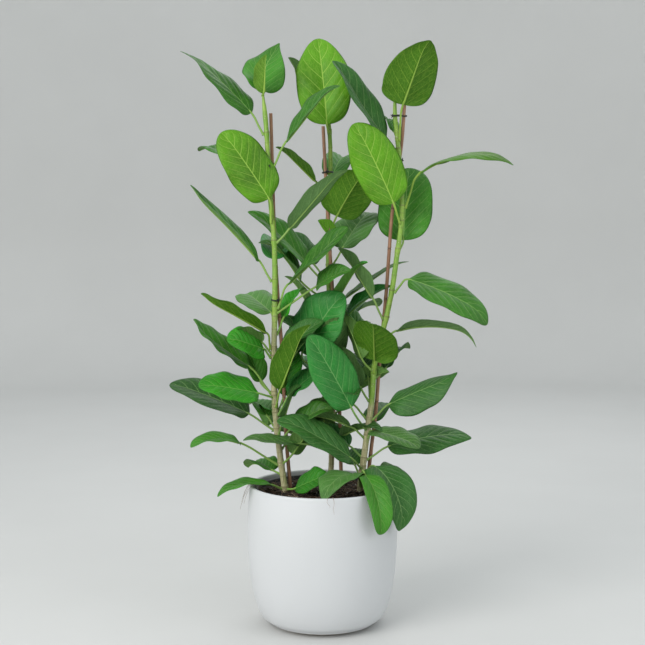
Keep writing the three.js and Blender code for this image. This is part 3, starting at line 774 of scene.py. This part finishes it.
# %% Leaves inside and behind
# Stem, height, petiole (heading, rise, reach), blade (heading, rise, length, width), droop, roll
# and age, in degrees and millimetres.
behind = [
    ("left", 505, (-5, 32, 78), (-33, 26, 69, 46), 10, 48, "green"),
    ("left", 470, (28, 57, 32), (47, 47, 65, 44), 20, -14, "bright"),
    ("left", 243, (151, 13, 21), (129, -2, 68, 52), 40, 0, "green"),
    ("centre", 816, (162, 42, 62), (127, 67, 65, 46), 0, 74, "deep"),
    ("centre", 520, (-175, 34, 56), (-169, 48, 97, 52), 30, -18, "green"),
    ("centre", 609, (-29, 51, 19), (-145, 41, 42, 30), 10, -72, "lime"),
    ("right", 789, (115, 22, 10), (113, 40, 40, 36), 10, 20, "green"),
    ("right", 396, (40, 27, 32), (51, 30, 69, 60), 20, -18, "deep"),
    ("right", 240, (145, 45, 20), (110, 15, 58, 56), 20, 0, "deep"),
    ("right", 367, (128, 71, 31), (109, 39, 60, 60), 20, 0, "deep"),
    ("right", 222, (-86, 25, 73), (-66, -55, 112, 46), 80, 0, "green"),
    ("left", 300, (-12, 40, 34), (-20, 30, 72, 44), 20, 40, "green"),
    ("left", 345, (40, 55, 30), (60, 62, 82, 40), 10, 55, "bright"),
    ("left", 420, (-8, 48, 30), (8, 40, 78, 46), 20, 40, "deep"),
    ("left", 262, (-40, 34, 30), (-18, 52, 64, 40), 10, -50, "green"),
    ("left", 375, (160, 35, 30), (150, 60, 74, 44), 10, -20, "green"),
    ("left", 330, (100, 20, 35), (100, -25, 88, 52), 20, 10, "bright"),
    ("centre", 300, (-120, 30, 30), (-100, 50, 80, 50), 10, 30, "green"),
    ("centre", 420, (-150, 36, 34), (-165, 40, 90, 50), 20, -30, "deep"),
    ("centre", 480, (-20, 30, 34), (-10, 34, 88, 50), 20, 20, "teal"),
    ("centre", 270, (-170, 22, 34), (-175, 20, 74, 46), 30, 10, "deep"),
    ("right", 330, (165, 40, 36), (172, 30, 86, 50), 20, 24, "green"),
    ("right", 268, (150, 30, 32), (160, 24, 80, 50), 30, -14, "teal"),
    ("right", 440, (150, 45, 34), (142, 40, 80, 48), 20, 10, "green"),
    ("left", 285, (20, 40, 36), (30, 10, 78, 46), 40, 0, "deep"),
    ("left", 310, (-60, 50, 26), (-30, 66, 70, 40), 10, 30, "deep"),
    ("left", 400, (30, 40, 36), (20, 46, 94, 52), 20, -50, "teal"),
    ("left", 440, (-160, 40, 28), (-150, 20, 60, 44), 20, 14, "green"),
    ("centre", 350, (-30, 34, 36), (-20, 30, 80, 48), 20, -40, "green"),
    ("centre", 400, (-90, 44, 30), (-80, 60, 90, 54), 10, 0, "deep"),
    ("centre", 460, (170, 50, 34), (160, 56, 92, 52), 10, 24, "green"),
    ("centre", 500, (-60, 44, 34), (-40, 50, 86, 48), 10, 20, "bright"),
    ("centre", 555, (150, 40, 36), (140, 40, 90, 52), 20, 0, "deep"),
    ("centre", 290, (-50, 20, 30), (-40, 14, 82, 50), 30, 0, "deep"),
    ("right", 360, (-170, 50, 30), (178, 60, 80, 46), 10, 30, "deep"),
    ("right", 410, (-150, 40, 30), (170, 66, 76, 44), 10, 50, "green"),
    ("right", 300, (-160, 34, 34), (-172, 14, 80, 48), 30, 10, "deep"),
    ("left", 560, (95, 35, 50), (88, 18, 98, 56), 30, 10, "teal"),
    ("left", 395, (70, 30, 42), (62, 12, 104, 60), 36, -8, "deep"),
    ("left", 315, (120, 28, 40), (112, 8, 92, 54), 30, 12, "green"),
    ("centre", 700, (80, 36, 40), (74, 24, 94, 54), 30, 8, "green"),
    ("centre", 455, (60, 30, 48), (52, 14, 108, 62), 38, -10, "deep"),
    ("centre", 380, (140, 26, 44), (132, 10, 100, 58), 34, 14, "teal"),
    ("centre", 330, (-60, 34, 40), (-72, 20, 78, 46), 30, 12, "deep"),
    ("right", 620, (85, 38, 44), (78, 22, 96, 58), 30, 6, "green"),
    ("right", 300, (70, 30, 40), (60, 10, 98, 60), 36, -12, "deep"),
]
for number, (*angles, age) in enumerate(behind, 1):
    made = leaf(f"fig_leaf_behind_{number:02d}", grown(*angles), "leaf_" + age, 100 + number)
    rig.slot(made, "leaf_" + age)
print("grew", len(behind), "more leaves")

# %% [markdown]
# ## Fibres
# Bark and bamboo are both marked lengthwise: noise squeezed to a twentieth of its height looks like
# fibres. The group gives fine lines and broad patches, and each material gives them its colours.

# %% Lengthwise fibres, shared by bark and bamboo
fibres, fibres_in, fibres_out = group(
    "fibres", {"Vector": "Vector"}, {"Lines": "Float", "Patches": "Float"}
)
drawn_out = stretched(fibres, fibres_in.outputs["Vector"], (1, 1, 0.05))
fibres.links.new(noise(fibres, drawn_out, 900.0, 4.0, 0.65), fibres_out.inputs["Lines"])
patchy = stretched(fibres, fibres_in.outputs["Vector"], (1, 1, 0.35))
fibres.links.new(noise(fibres, patchy, 120.0, 3.0), fibres_out.inputs["Patches"])
print("fibres has", len(fibres.nodes), "nodes")

# %% [markdown]
# ## Stems
# Young fig stem is green and smooth. Further down it has turned to pale, slightly cracked bark.
# Every leaf leaves a ring where its sheath wrapped the stem, and fallen leaves leave rings as well.
# So a stem is a tube with a narrow ridge and a soft swelling at each ring, and the shader is told
# how young and how scarred each point is.

# %% Bark
bark, tree, shader, where = material("bark")
lines, patches = placed(tree, fibres, {"Vector": where}).outputs
woody = blend(tree, rise(tree, lines, 0.35, 0.65), (0.3, 0.27, 0.13), (0.55, 0.52, 0.31))
woody = blend(tree, rise(tree, patches, 0.5, 0.75, 0.0, 0.6), woody, (0.25, 0.33, 0.09))
green = blend(tree, rise(tree, patches, 0.3, 0.75), (0.16, 0.33, 0.035), (0.3, 0.46, 0.07))
green = blend(tree, rise(tree, lines, 0.5, 0.8, 0.0, 0.4), green, (0.42, 0.5, 0.14))
patchy = calc(tree, "MULTIPLY_ADD", patches, 0.5, -0.25)
young = calc(tree, "ADD", attribute(tree, "young"), patchy)
rind = blend(tree, rise(tree, young, 0.25, 0.75), woody, green)
squat = stretched(tree, where, (1, 1, 0.6))
pores = add(tree, "ShaderNodeTexVoronoi", {"Vector": squat, "Scale": 260.0}).outputs["Distance"]
pore = rise(tree, pores, 0.1, 0.2, 0.6, 0.0)
rind = blend(tree, pore, rind, (0.62, 0.6, 0.4))
scarred = calc(tree, "MULTIPLY", attribute(tree, "scar"), 0.65)
cracks = calc(tree, "MULTIPLY", lines, 0.8)
relief = calc(tree, "MULTIPLY_ADD", calc(tree, "SUBTRACT", 1.0, young), cracks, pore)
coat(
    tree, shader, blend(tree, scarred, rind, (0.16, 0.14, 0.06)),
    rise(tree, young, 0.2, 0.8, 0.75, 0.45), bump(tree, relief, 0.0005, 0.8),
)
print("bark has", len(tree.nodes), "nodes")

# %% Rings on a stem
def bumps(z, rings, width):
    """At each height z, the sum over the rings of exp(-((z - ring) / width)^2)."""
    return np.exp(-(((z[:, None] - rings) / width) ** 2)).sum(1)


def rings_on(node, chance):
    """Heights of the leaf bases on a stem, and of the fainter rings that fallen leaves left."""
    heights, rows, end = courses[node]
    feet = np.array([plan["petiole"][0] for plan in plans.values()])
    near = np.hypot(*(through(heights, rows, feet[:, 2])[:, :2] - feet[:, :2]).T) < 0.012
    near &= (feet[:, 2] > heights[0]) & (feet[:, 2] < end[2])
    fallen = np.arange(0.222, end[2] - 0.07, 0.021)
    return feet[near, 2], fallen + chance.uniform(-0.006, 0.006, len(fallen))


print(len(rings_on("stem_left", np.random.default_rng(0))[0]), "leaves leave stem_left")

# %% The stems
greening = {"stem_left": (0.36, 0.6), "stem_centre": (0.32, 0.5), "stem_right": (0.29, 0.42)}
SIDES = 20


def stem(node, number):
    """Radius at height z: the solid's, plus for each leaf base a ridge 1 mm wide just above it and
    a swelling 5 mm wide, and for each fallen leaf a fainter ridge. It ends in the pointed bud."""
    heights, rows, end = courses[node]
    leaves, fallen = rings_on(node, np.random.default_rng(number))
    z = np.linspace(heights[0], end[2] - 0.0004, 760)
    line = through(np.append(heights, end[2]), np.vstack([rows, [end[0], end[1], 0.0002]]), z)
    ridge, faint = bumps(z - 0.003, leaves, 0.001), bumps(z, fallen, 0.0008)
    radius = line[:, 2] + 0.0005 * ridge + 0.00025 * faint + 0.0006 * bumps(z, leaves, 0.005)
    radius = np.minimum(radius, 1.25 * line[:, 2] + 0.0001)[:, None] * np.ones(SIDES)
    across = 2 * np.cos(np.linspace(0, 6, SIDES))
    places = np.stack(np.broadcast_arrays(90 * z[:, None], across), -1)
    radius = radius * (1 + 0.03 * wander(places, number, 3.0))
    young = step(*greening[node], z + 0.02 * wander(z[:, None], number, 0.09))
    scar = np.clip(ridge + 0.55 * faint, 0, 1)
    path = np.column_stack([line[:, :2], z])
    return tube(path, radius, SIDES, young=young[:, None], scar=scar[:, None])


for number, node in enumerate(greening):
    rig.replaces(piece(node.replace("stem_", "fig_stem_"), stem(node, number), bark), node)
print("stems:", list(greening))

# %% [markdown]
# ## Canes
# Thin bamboo holds the stems up. A cane has a joint every few centimetres: a groove with a raised
# lip on each side, and the wood is darker there. Its sawn top is hollow, so the outline turns
# in over the rim and goes down inside, and painted shade darkens it the deeper it goes.

# %% Bamboo
bamboo, tree, shader, where = material("bamboo")
lines, patches = placed(tree, fibres, {"Vector": where}).outputs
dry = blend(tree, rise(tree, lines, 0.3, 0.7), (0.24, 0.11, 0.062), (0.44, 0.235, 0.14))
dry = blend(tree, rise(tree, patches, 0.45, 0.75, 0.0, 0.5), dry, (0.2, 0.1, 0.06))
# The joint attribute darkens the cane's real dark joints, and it is also painted shade down inside the hollow top.
joint = calc(tree, "MULTIPLY", attribute(tree, "joint"), 0.8)
satin = calc(tree, "MULTIPLY_ADD", lines, 0.2, 0.42)
dry = blend(tree, joint, dry, (0.07, 0.035, 0.02))
coat(tree, shader, dry, satin, bump(tree, lines, 0.0003, 0.5))
print("bamboo has", len(tree.nodes), "nodes")

# %% The canes
def cane(node, number):
    """Radius at height z: the solid's, plus at each joint two lips 2 mm apart and a groove between,
    0.5 mm exp(-((z - joint) / 3 mm)^2) - 0.7 mm exp(-((z - joint) / 0.8 mm)^2)."""
    heights, rows, _ = courses[node]
    z = np.linspace(heights[0], heights[-1], 620)
    line = through(heights, rows, z)
    gaps = np.random.default_rng(number).uniform(0.062, 0.092, 10)
    joints = heights[-1] - 0.034 - np.cumsum(gaps)
    radius = line[:, 2] + 0.0005 * bumps(z, joints, 0.003) - 0.0007 * bumps(z, joints, 0.0008)
    path = np.column_stack([line[:, :2], z])
    rim = path[-1:] + [0, 0, 0.0003]
    inside = path[-1] + np.linspace(0, -0.008, 6)[:, None] * [0, 0, 1]
    path = np.concatenate([path, rim, rim, inside])
    radius = np.concatenate([radius, line[-1, 2] * np.array([0.92, 0.62] + [0.55] * 6)])
    # The dark mark is 1 at each joint, which is really darker. Over the rim and down inside the hollow top it rises
    # from 0.2 to 1, which is painted shade.
    joint_and_hollow_shade = np.concatenate([bumps(z, joints, 0.0013), [0.2, 0.3], np.linspace(0.5, 1, 6)])
    rings = path[:, None] + radius[:, None, None] * circle(18)
    return skin(rings, joint=np.clip(joint_and_hollow_shade, 0, 1)[:, None])


for number, node in enumerate(["stake_left", "stake_centre", "stake_right"], 20):
    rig.replaces(piece(node.replace("stake_", "bamboo_cane_"), cane(node, number), bamboo), node)
print("canes done")

# %% [markdown]
# ## Wire ties
# A plastic-coated garden wire goes twice round the stem and its cane, and the two ends are twisted
# together and left sticking out. The loop is an oval: half circles round each, joined by straights.

# %% Coated wire
wire, tree, shader, where = material("coated_wire")
black = blend(tree, noise(tree, where, 300.0), (0.006, 0.007, 0.007), (0.022, 0.024, 0.022))
coat(tree, shader, black, rise(tree, noise(tree, where, 500.0), 0.3, 0.7, 0.35, 0.55))
print("coated_wire has", len(tree.nodes), "nodes")

# %% The ties
WIRE = 0.0007


def oval(side, height):
    """Two turns of the oval: the stem's or cane's centre plus wide (cos a, sin a), climbing as it
    goes, with its corners smoothed by a running mean over nine points."""
    pair = [kind + side for kind in ("stem_", "stake_")]
    stem_at, cane_at = (centre_at(node, height) for node in pair)
    wide = max(through(*courses[node][:2], [height])[0, 2] for node in pair) + 0.0015
    long = unit(cane_at - stem_at)
    short = np.array([-long[1], long[0], 0])
    angle = np.linspace(0.2, 4 * np.pi + 0.2, 130)
    cosine, sine = np.cos(angle)[:, None], np.sin(angle)[:, None]
    path = np.where(cosine > 0, cane_at, stem_at) + wide * (cosine * long + sine * short)
    path[:, 2] = height + 0.0012 * np.sin(angle) + 0.0011 * (angle / (4 * np.pi) * 2 - 1)
    padded = np.pad(path, ((4, 4), (0, 0)), mode="edge")
    return np.stack([np.convolve(padded[:, k], np.ones(9) / 9, "valid") for k in range(3)], -1)


def twisted_end(path, chance):
    """Two strands that leave the loop at its furthest point in the direction out. They are twisted
    about one line, r (cos 15 s, sin 15 s) square to it, and spread apart at their tips."""
    out, across = aim(chance.uniform(-120, -60), chance.uniform(-20, 30))
    upright = np.cross(out, across)
    s = np.linspace(0, 1, 50)[:, None]
    middle = path[np.argmax(path @ out)] + 0.013 * s * out
    spread = WIRE + 0.0016 * step(0.7, 1.0, s)
    for start in (0, np.pi):
        twist = 15 * np.minimum(s, 0.75) + start
        ring = np.cos(twist) * across + np.sin(twist) * upright
        yield tube(middle + spread * ring, np.full(50, 0.00062), 8, (0, 0, 1))


ties = ["centre", "lower_left", "lower_right", "upper_left", "upper_right"]
for number, name in enumerate(ties, 40):
    low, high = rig.box("tie_" + name)
    path = oval(name.split("_")[-1], (low.z + high.z) / 2)
    loop = tube(path, np.full(len(path), WIRE), 8, (0, 0, 1))
    made = gather([loop, *twisted_end(path, np.random.default_rng(number))])
    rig.replaces(piece("wire_tie_" + name, made, wire), "tie_" + name)
print("ties:", ties)

# %% [markdown]
# ## The two pots
# Both pots are turned shapes, so one outline, read from the solid, makes each. The cachepot is
# pressed stoneware in a satin white glaze, with a rolled rim and a bare foot that the glaze was
# wiped from. The nursery pot is thin black plastic with a lip. Only its edge and inside show.

# %% A turned shape
def turned(outline, sides, **values):
    """Each (radius, height) of the outline swung round the upright axis."""
    return skin(outline[:, :1, None] * circle(sides) + outline[:, 1:, None] * [0, 0, 1], **values)


def eased(corners, count):
    """A smooth curve through corners, with its points evenly spaced along it."""
    walked = np.append(0, np.cumsum(np.linalg.norm(np.diff(corners, axis=0), axis=1)))
    return through(walked, corners, np.linspace(0, walked[-1], count))


def profile_of(node):
    """The widest radius at each height of a turned solid."""
    points, _ = welded(node)
    radius = np.hypot(points[:, 0], points[:, 1])
    heights = np.unique(np.round(points[:, 2], 5))
    return np.array([[radius[np.abs(points[:, 2] - h) < 1e-4].max(), h] for h in heights])


print("cachepot outline:", np.round(profile_of("cachepot")[[0, 1, -1]], 4).tolist())

# %% The cachepot's glaze
glaze, tree, shader, where = material("white_glaze")
bare = rise(tree, attribute(tree, "bare"), 0.35, 0.65)
white = blend(tree, noise(tree, where, 9.0, 3.0), (0.6, 0.615, 0.63), (0.65, 0.665, 0.68))
speck = add(tree, "ShaderNodeTexVoronoi", {"Vector": where, "Scale": 420.0}).outputs["Distance"]
clay = blend(tree, rise(tree, speck, 0.05, 0.25), (0.38, 0.32, 0.24), (0.62, 0.56, 0.46))
satin = calc(tree, "MULTIPLY_ADD", noise(tree, where, 45.0, 4.0), 0.16, 0.3)
rougher = calc(tree, "SUBTRACT", 0.85, satin)
waves = noise(tree, where, 16.0, 2.0)
peel = calc(tree, "MULTIPLY_ADD", noise(tree, where, 260.0, 2.0), 0.15, waves)
coat(
    tree, shader, blend(tree, bare, white, clay),
    calc(tree, "MULTIPLY_ADD", bare, rougher, satin), bump(tree, peel, 0.0012, 0.35),
)
print("white_glaze has", len(tree.nodes), "nodes")

# %% The cachepot
outer = profile_of("cachepot")
wall, top = 0.0055, outer[-1, 1]
outer = outer[(outer[:, 1] > 0.004) & (outer[:, 1] < top - wall / 2 + 1e-4)]
body = eased(outer, 110)
bend = np.linspace(0, np.pi, 16)[1:-1]
lip = body[-1] + [-wall / 2, 0] + wall / 2 * np.stack([np.cos(bend), np.sin(bend)], -1)
inner = body[::-1][:104] - [wall, 0]
inner = inner[inner[:, 1] > 0.02]
deep = inner[-1, 0]
well = np.array([[deep - 0.006, 0.0115], [deep - 0.014, 0.01], [0.03, 0.01], [0.001, 0.01]])
foot = np.array([
    [0.001, 0.0015], [0.062, 0.0015], [0.065, 0.0004], [0.0665, 0.0], [0.0725, 0.0],
    [0.074, 0.0008], [0.0748, 0.003],
])
outline = np.concatenate([foot, body, lip, inner, well])
unglazed = (np.arange(len(outline)) < len(foot))[:, None].astype(float)
pot = piece("glazed_cachepot", turned(outline, 168, bare=unglazed), glaze)
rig.replaces(pot, "cachepot")
print("cachepot outline has", len(outline), "points")

# %% The nursery pot
plastic, tree, shader, where = material("pot_plastic")
scuff = noise(tree, stretched(tree, where, (1, 1, 0.4)), 180.0, 5.0, 0.65)
black = blend(tree, rise(tree, scuff, 0.5, 0.75), (0.02, 0.02, 0.022), (0.075, 0.072, 0.075))
dull = calc(tree, "MULTIPLY_ADD", scuff, 0.3, 0.32)
coat(tree, shader, black, dull, bump(tree, scuff, 0.0002, 0.5))

shell = profile_of("nursery_pot")
edge_r, edge_z = shell[-1]
under_lip = shell[np.searchsorted(shell[:, 1], edge_z - 0.0105) - 1]
wall_at_lip = under_lip[0] - 0.0026
low_r, low_z = 0.074, shell[0, 1]
outline = np.array([
    [0.001, low_z], [low_r - 0.0026, low_z], [low_r - 0.0008, low_z + 0.0006],
    [low_r, low_z + 0.0024],
    *np.linspace([low_r, low_z + 0.003], [wall_at_lip, edge_z - 0.0112], 40),
    [wall_at_lip + 0.0022, edge_z - 0.011], [under_lip[0], edge_z - 0.0104],
    *np.linspace([under_lip[0], edge_z - 0.0098], [edge_r, edge_z - 0.001], 8),
    [edge_r - 0.0003, edge_z - 0.0003], [edge_r - 0.0009, edge_z], [edge_r - 0.0032, edge_z],
    [edge_r - 0.0039, edge_z - 0.0003], [edge_r - 0.0042, edge_z - 0.001],
    *np.linspace([edge_r - 0.0045, edge_z - 0.002], [low_r - 0.0016, low_z + 0.0022], 40),
    [low_r - 0.003, low_z + 0.0016], [0.001, low_z + 0.0016],
])
tub = piece("plastic_nursery_pot", turned(outline, 128), plastic)
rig.replaces(tub, "nursery_pot")
print("nursery pot lip at", round(edge_z, 4))

# %% Drain holes
drill = gather([
    tube(np.array([[0.059 * np.cos(a), 0.059 * np.sin(a), low_z + h] for h in (-0.004, 0.006)]),
         [0.005, 0.005], 24)
    for a in (np.arange(8) + 0.5) * np.pi / 4
])
cutter = piece("drain_cutter", drill, plastic)
cut = tub.modifiers.new("drain_holes", "BOOLEAN")
cut.object = cutter
graph = bpy.context.evaluated_depsgraph_get()
graph.update()
tub.data = bpy.data.meshes.new_from_object(tub.evaluated_get(graph))
tub.modifiers.clear()
bpy.data.objects.remove(cutter)
print("nursery pot has", len(tub.data.polygons), "faces after drilling")

# %% [markdown]
# ## Potting mix
# The mix is peat with chips of pine bark, a few white grains of perlite and the plant's own fine
# roots. The surface is one bumpy skin that fills the pot. Chips are copies of one six-sided flake,
# turned, stretched and tinted by chance, and pressed a little into the surface.

# %% The mix
peat, tree, shader, where = material("potting_mix")
crumb = noise(tree, where, 260.0, 6.0, 0.7)
tone = calc(tree, "ADD", crumb, attribute(tree, "tone"))
dark = blend(tree, rise(tree, tone, 0.3, 0.85), (0.008, 0.005, 0.004), (0.06, 0.034, 0.02))
dark = blend(tree, rise(tree, tone, 0.95, 1.4), dark, (0.2, 0.12, 0.07))
dull = calc(tree, "MULTIPLY_ADD", crumb, 0.2, 0.75)
coat(tree, shader, dark, dull, bump(tree, crumb, 0.002, 0.9))
print("potting_mix has", len(tree.nodes), "nodes")

# %% The surface of the mix
earth = welded("soil")[0]
around_axis = np.hypot(earth[:, 0], earth[:, 1])
soil_edge = around_axis.max() + 0.0004
soil_level = np.median(earth[(around_axis < 0.09) & (earth[:, 2] > 0.2), 2])


def soil_height(x, y):
    """The level, three long waves, and finer lumps; it banks up a little towards the wall."""
    waves = np.sin(x / 0.013 + 1) + np.sin(y / 0.011 + 2) + np.sin((x + y) / 0.017)
    flat = np.stack([x, y], -1)
    fine = wander(flat, 3, 0.012) * 0.0012 + wander(flat, 4, 0.004) * 0.0006
    return soil_level + 0.00085 * waves + fine + 0.003 * step(0.07, 0.1, np.hypot(x, y))


flat = np.linspace(soil_edge, 0.0006, 90)[:, None, None] * circle(240)[:, :2]
surface = np.dstack([flat, soil_height(flat[..., 0], flat[..., 1])])
edge = surface[:1]
bottom = edge * [0.7, 0.7, 0] + [0, 0, low_z + 0.003]
side = edge * [0.98, 0.98, 0] + [0, 0, 0.19]
whole = np.concatenate([bottom, side, surface])
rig.replaces(piece("peat_surface", skin(whole, tone=np.zeros((1, 1))), peat), "soil")
print("soil level", round(float(soil_level), 4), "edge", round(float(soil_edge), 4))

# %% Copies of one small shape
def strewn(shape, places, turns, sizes, **values):
    """Point = place + turn (size x point) for every copy at once. A value is one number a copy."""
    n, m = len(places), len(shape["points"])
    sized = shape["points"][None] * sizes[:, None]
    points = np.einsum("nij,nmj->nmi", turns, sized) + places[:, None]
    shift = (np.arange(n) * m)[:, None, None]
    made = {"points": points.reshape(-1, 3)}
    for faces in ("quads", "tris"):
        made[faces] = (shape[faces][None] + shift).reshape(-1, shape[faces].shape[1])
    made.update({name: np.repeat(v, m) for name, v in values.items()})
    return made


def turning(angle, axis):
    """The matrix of a turn by each angle about the axis with this number."""
    made = np.tile(np.eye(3), (len(angle), 1, 1))
    a, b = (axis + 1) % 3, (axis + 2) % 3
    made[:, a, a] = made[:, b, b] = np.cos(angle)
    made[:, b, a] = np.sin(angle)
    made[:, a, b] = -made[:, b, a]
    return made


def tumbled(chance, count, tilt):
    """Turns about the upright axis by any angle, after a tilt of up to so many degrees."""
    spin = chance.uniform(0, 2 * np.pi, count)
    lean, aside = np.radians(chance.uniform(-tilt, tilt, (2, count)))
    return turning(spin, 2) @ turning(lean, 0) @ turning(aside, 1)


def flake(chance):
    """A flat six-sided flake about one unit wide: three rings of six, each corner out of true."""
    levels = ((0.42, -0.5), (0.56, -0.1), (0.45, 0.5))
    rings = np.array([r * circle(6) + [0, 0, z] for r, z in levels])
    return skin(rings * chance.uniform(0.75, 1.15, rings.shape))


print("a flake has", len(flake(np.random.default_rng(1))["points"]), "points")

# %% Bark chips
chance = np.random.default_rng(11)


def scattered(count, limit):
    """Places on the soil, even over its area."""
    far, turn = limit * np.sqrt(chance.uniform(0, 1, count)), chance.uniform(0, 2 * np.pi, count)
    x, y = far * np.cos(turn), far * np.sin(turn)
    return np.column_stack([x, y, soil_height(x, y)])


KINDS, EACH = 6, 90
chips = []
for _ in range(KINDS):
    places = scattered(EACH, soil_edge - 0.007)
    ranges = ((0.004, 0.013), (0.003, 0.007), (0.0012, 0.003))
    sizes = np.column_stack([chance.uniform(low, high, EACH) for low, high in ranges])
    places[:, 2] += chance.uniform(0, 0.002, EACH)
    made = flake(chance), places, tumbled(chance, EACH, 32), sizes
    chips.append(strewn(*made, tone=chance.uniform(0.0, 0.6, EACH)))
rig.slot(piece("bark_chips", gather(chips), peat, smooth=False), "soil_mix")
print(KINDS * EACH, "chips")

# %% Perlite
perlite, tree, shader, where = material("perlite")
chalk = blend(tree, noise(tree, where, 700.0), (0.42, 0.4, 0.36), (0.7, 0.69, 0.65))
coat(tree, shader, chalk, 0.9, bump(tree, noise(tree, where, 1500.0), 0.0004))
GRAINS = 26
places = scattered(GRAINS, soil_edge - 0.006) + [0, 0, 0.0012]
made = flake(chance), places, tumbled(chance, GRAINS, 90)
grains = strewn(*made, chance.uniform(0.0018, 0.0034, (GRAINS, 3)))
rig.slot(piece("perlite_grains", grains, perlite), "soil_mix")
print(GRAINS, "grains")

# %% [markdown]
# ## Fine roots
# A fig in a tight pot sends thin roots over the surface, and some hang down over the rim. Each is a
# wandering tube under a millimetre thick. One that hangs is a smooth curve through five places: in
# the soil, on the plastic lip, over the white rim, and two down the outside.

# %% Roots
fine_root, tree, shader, where = material("fine_root")
tan = blend(tree, noise(tree, where, 90.0), (0.2, 0.13, 0.09), (0.42, 0.3, 0.22))
coat(tree, shader, tan, 0.8)


def lying_root(chance):
    """A root over the soil: it sets off one way and its heading wanders."""
    start = chance.uniform(-0.07, 0.07, 2)
    heading = chance.uniform(0, 2 * np.pi) + np.cumsum(chance.normal(0, 0.22, 40))
    flat = start + np.cumsum(0.0016 * np.stack([np.cos(heading), np.sin(heading)], -1), 0)
    flat *= np.minimum(1, 0.1 / np.linalg.norm(flat, axis=1))[:, None]
    lift = 0.0008 + 0.0022 * np.abs(np.sin(np.linspace(0, 3 * np.pi, 40) + chance.uniform(0, 3)))
    path = np.column_stack([flat, soil_height(flat[:, 0], flat[:, 1]) + lift])
    return tube(path, np.linspace(0.0004, 0.00015, 40), 6, (0, 0, 1))


def hanging_root(chance, heading, drop):
    """A root over the rim at a heading, hanging down by drop."""
    rim = outer[-1, 0]
    places = np.array([
        [0.088, soil_level + 0.001], [0.103, top - 0.0035], [rim - 0.002, top + 0.0012],
        [rim + 0.003 + 0.12 * drop, top - drop * 0.35], [rim + 0.003 + 0.34 * drop, top - drop],
    ])
    line = eased(places, 46)
    sway = 0.03 * wander(line[:, 1:], int(chance.integers(999)), 0.02) * np.linspace(0, 1, 46) ** 2
    angle = np.radians(heading) + sway
    path = np.column_stack([line[:, 0] * np.cos(angle), line[:, 0] * np.sin(angle), line[:, 1]])
    return tube(path, np.linspace(0.00042, 0.00016, 46), 6, (0.3, 0.2, 0.9))


roots = [lying_root(chance) for _ in range(42)]
# Heading and drop of each root that hangs.
hanging = [
    (-172, 0.038), (-166, 0.026), (178, 0.032), (-176, 0.02),
    (-86, 0.012), (-82, 0.022), (20, 0.018),
]
roots += [hanging_root(chance, heading, drop) for heading, drop in hanging]
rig.slot(piece("fine_roots", gather(roots), fine_root), "soil_mix")
print(len(roots), "roots")

# %% [markdown]
# ## Floor and light
# A pale round floor that curves up into a wall far behind gives a soft, even ground from any side.
# One large lamp in front and to the left does what a window does, a weak one fills the right side,
# another lights the floor behind, and the sky of the world lifts the shadows.

# %% The floor
backdrop, tree, shader, where = material("pale_floor")
pale = blend(tree, noise(tree, where, 3.0), (0.61, 0.61, 0.6), (0.66, 0.66, 0.65))
coat(tree, shader, pale, 0.8)
curl = np.linspace(0, np.pi / 2, 14)
sweep = np.concatenate([
    np.stack([np.linspace(0.01, 3.0, 12), np.full(12, -0.0004)], -1),
    np.stack([3.0 + 0.6 * np.sin(curl), 0.5996 - 0.6 * np.cos(curl)], -1)[1:],
    [[3.6, 2.2]],
])
ground = sweep[:, :1, None] * circle(96) + sweep[:, 1:, None] * [0, 0, 1]
here = np.arange(ground[..., 0].size).reshape(ground.shape[:2])
beside = np.roll(here, -1, 1)
faces = np.stack([here[:-1], beside[:-1], beside[1:], here[1:]], -1).reshape(-1, 4)
mesh = bpy.data.meshes.new("studio_floor")
mesh.from_pydata(ground.reshape(-1, 3).tolist(), [], [*faces.tolist(), here[0].tolist()])
mesh.polygons.foreach_set("use_smooth", np.ones(len(mesh.polygons), bool))
mesh.materials.append(backdrop)
floor = bpy.data.objects.new("studio_floor", mesh)
bpy.context.scene.collection.objects.link(floor)
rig.stage(floor)
print("floor reaches", 3.6, "m")

# %% The lamps
def lamp(name, place, size, power, colour):
    """A square area lamp that points at the middle of the plant."""
    light = bpy.data.lights.new(name, "AREA")
    light.shape = "SQUARE"
    light.size = size
    light.energy = power
    light.color = colour
    made = bpy.data.objects.new(name, light)
    made.location = place
    towards = np.array([0, 0, 0.5]) - place
    level = math.hypot(towards[0], towards[1])
    made.rotation_euler = (math.atan2(level, -towards[2]), 0, math.atan2(-towards[0], towards[1]))
    bpy.context.scene.collection.objects.link(made)


lamp("window", np.array([-1.7, -2.0, 1.6]), 1.9, 58, (1.0, 0.985, 0.96))
lamp("fill", np.array([2.0, -1.2, 1.2]), 1.4, 10, (0.95, 0.98, 1.0))
lamp("wall_glow", np.array([0.6, 1.8, 2.2]), 1.6, 12, (1.0, 1.0, 1.0))
sky = bpy.data.worlds.new("room")
sky.use_nodes = True
sky.node_tree.nodes["Background"].inputs["Color"].default_value = (0.85, 0.9, 0.92, 1)
sky.node_tree.nodes["Background"].inputs["Strength"].default_value = 0.85
bpy.context.scene.world = sky
bpy.context.scene.view_settings.view_transform = "Standard"
print("three lamps and a grey sky")

# %% [markdown]
# ## The two boxes
# The solids' box and the finished model's box are written down side by side, so it is plain that
# the finish stays where the solids are.

# %% Sizes and finish
with open("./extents.json", "w") as sizes:
    json.dump([[list(corner) for corner in cad_box], [list(corner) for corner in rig.bounds()]], sizes)
print(json.load(open("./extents.json")))
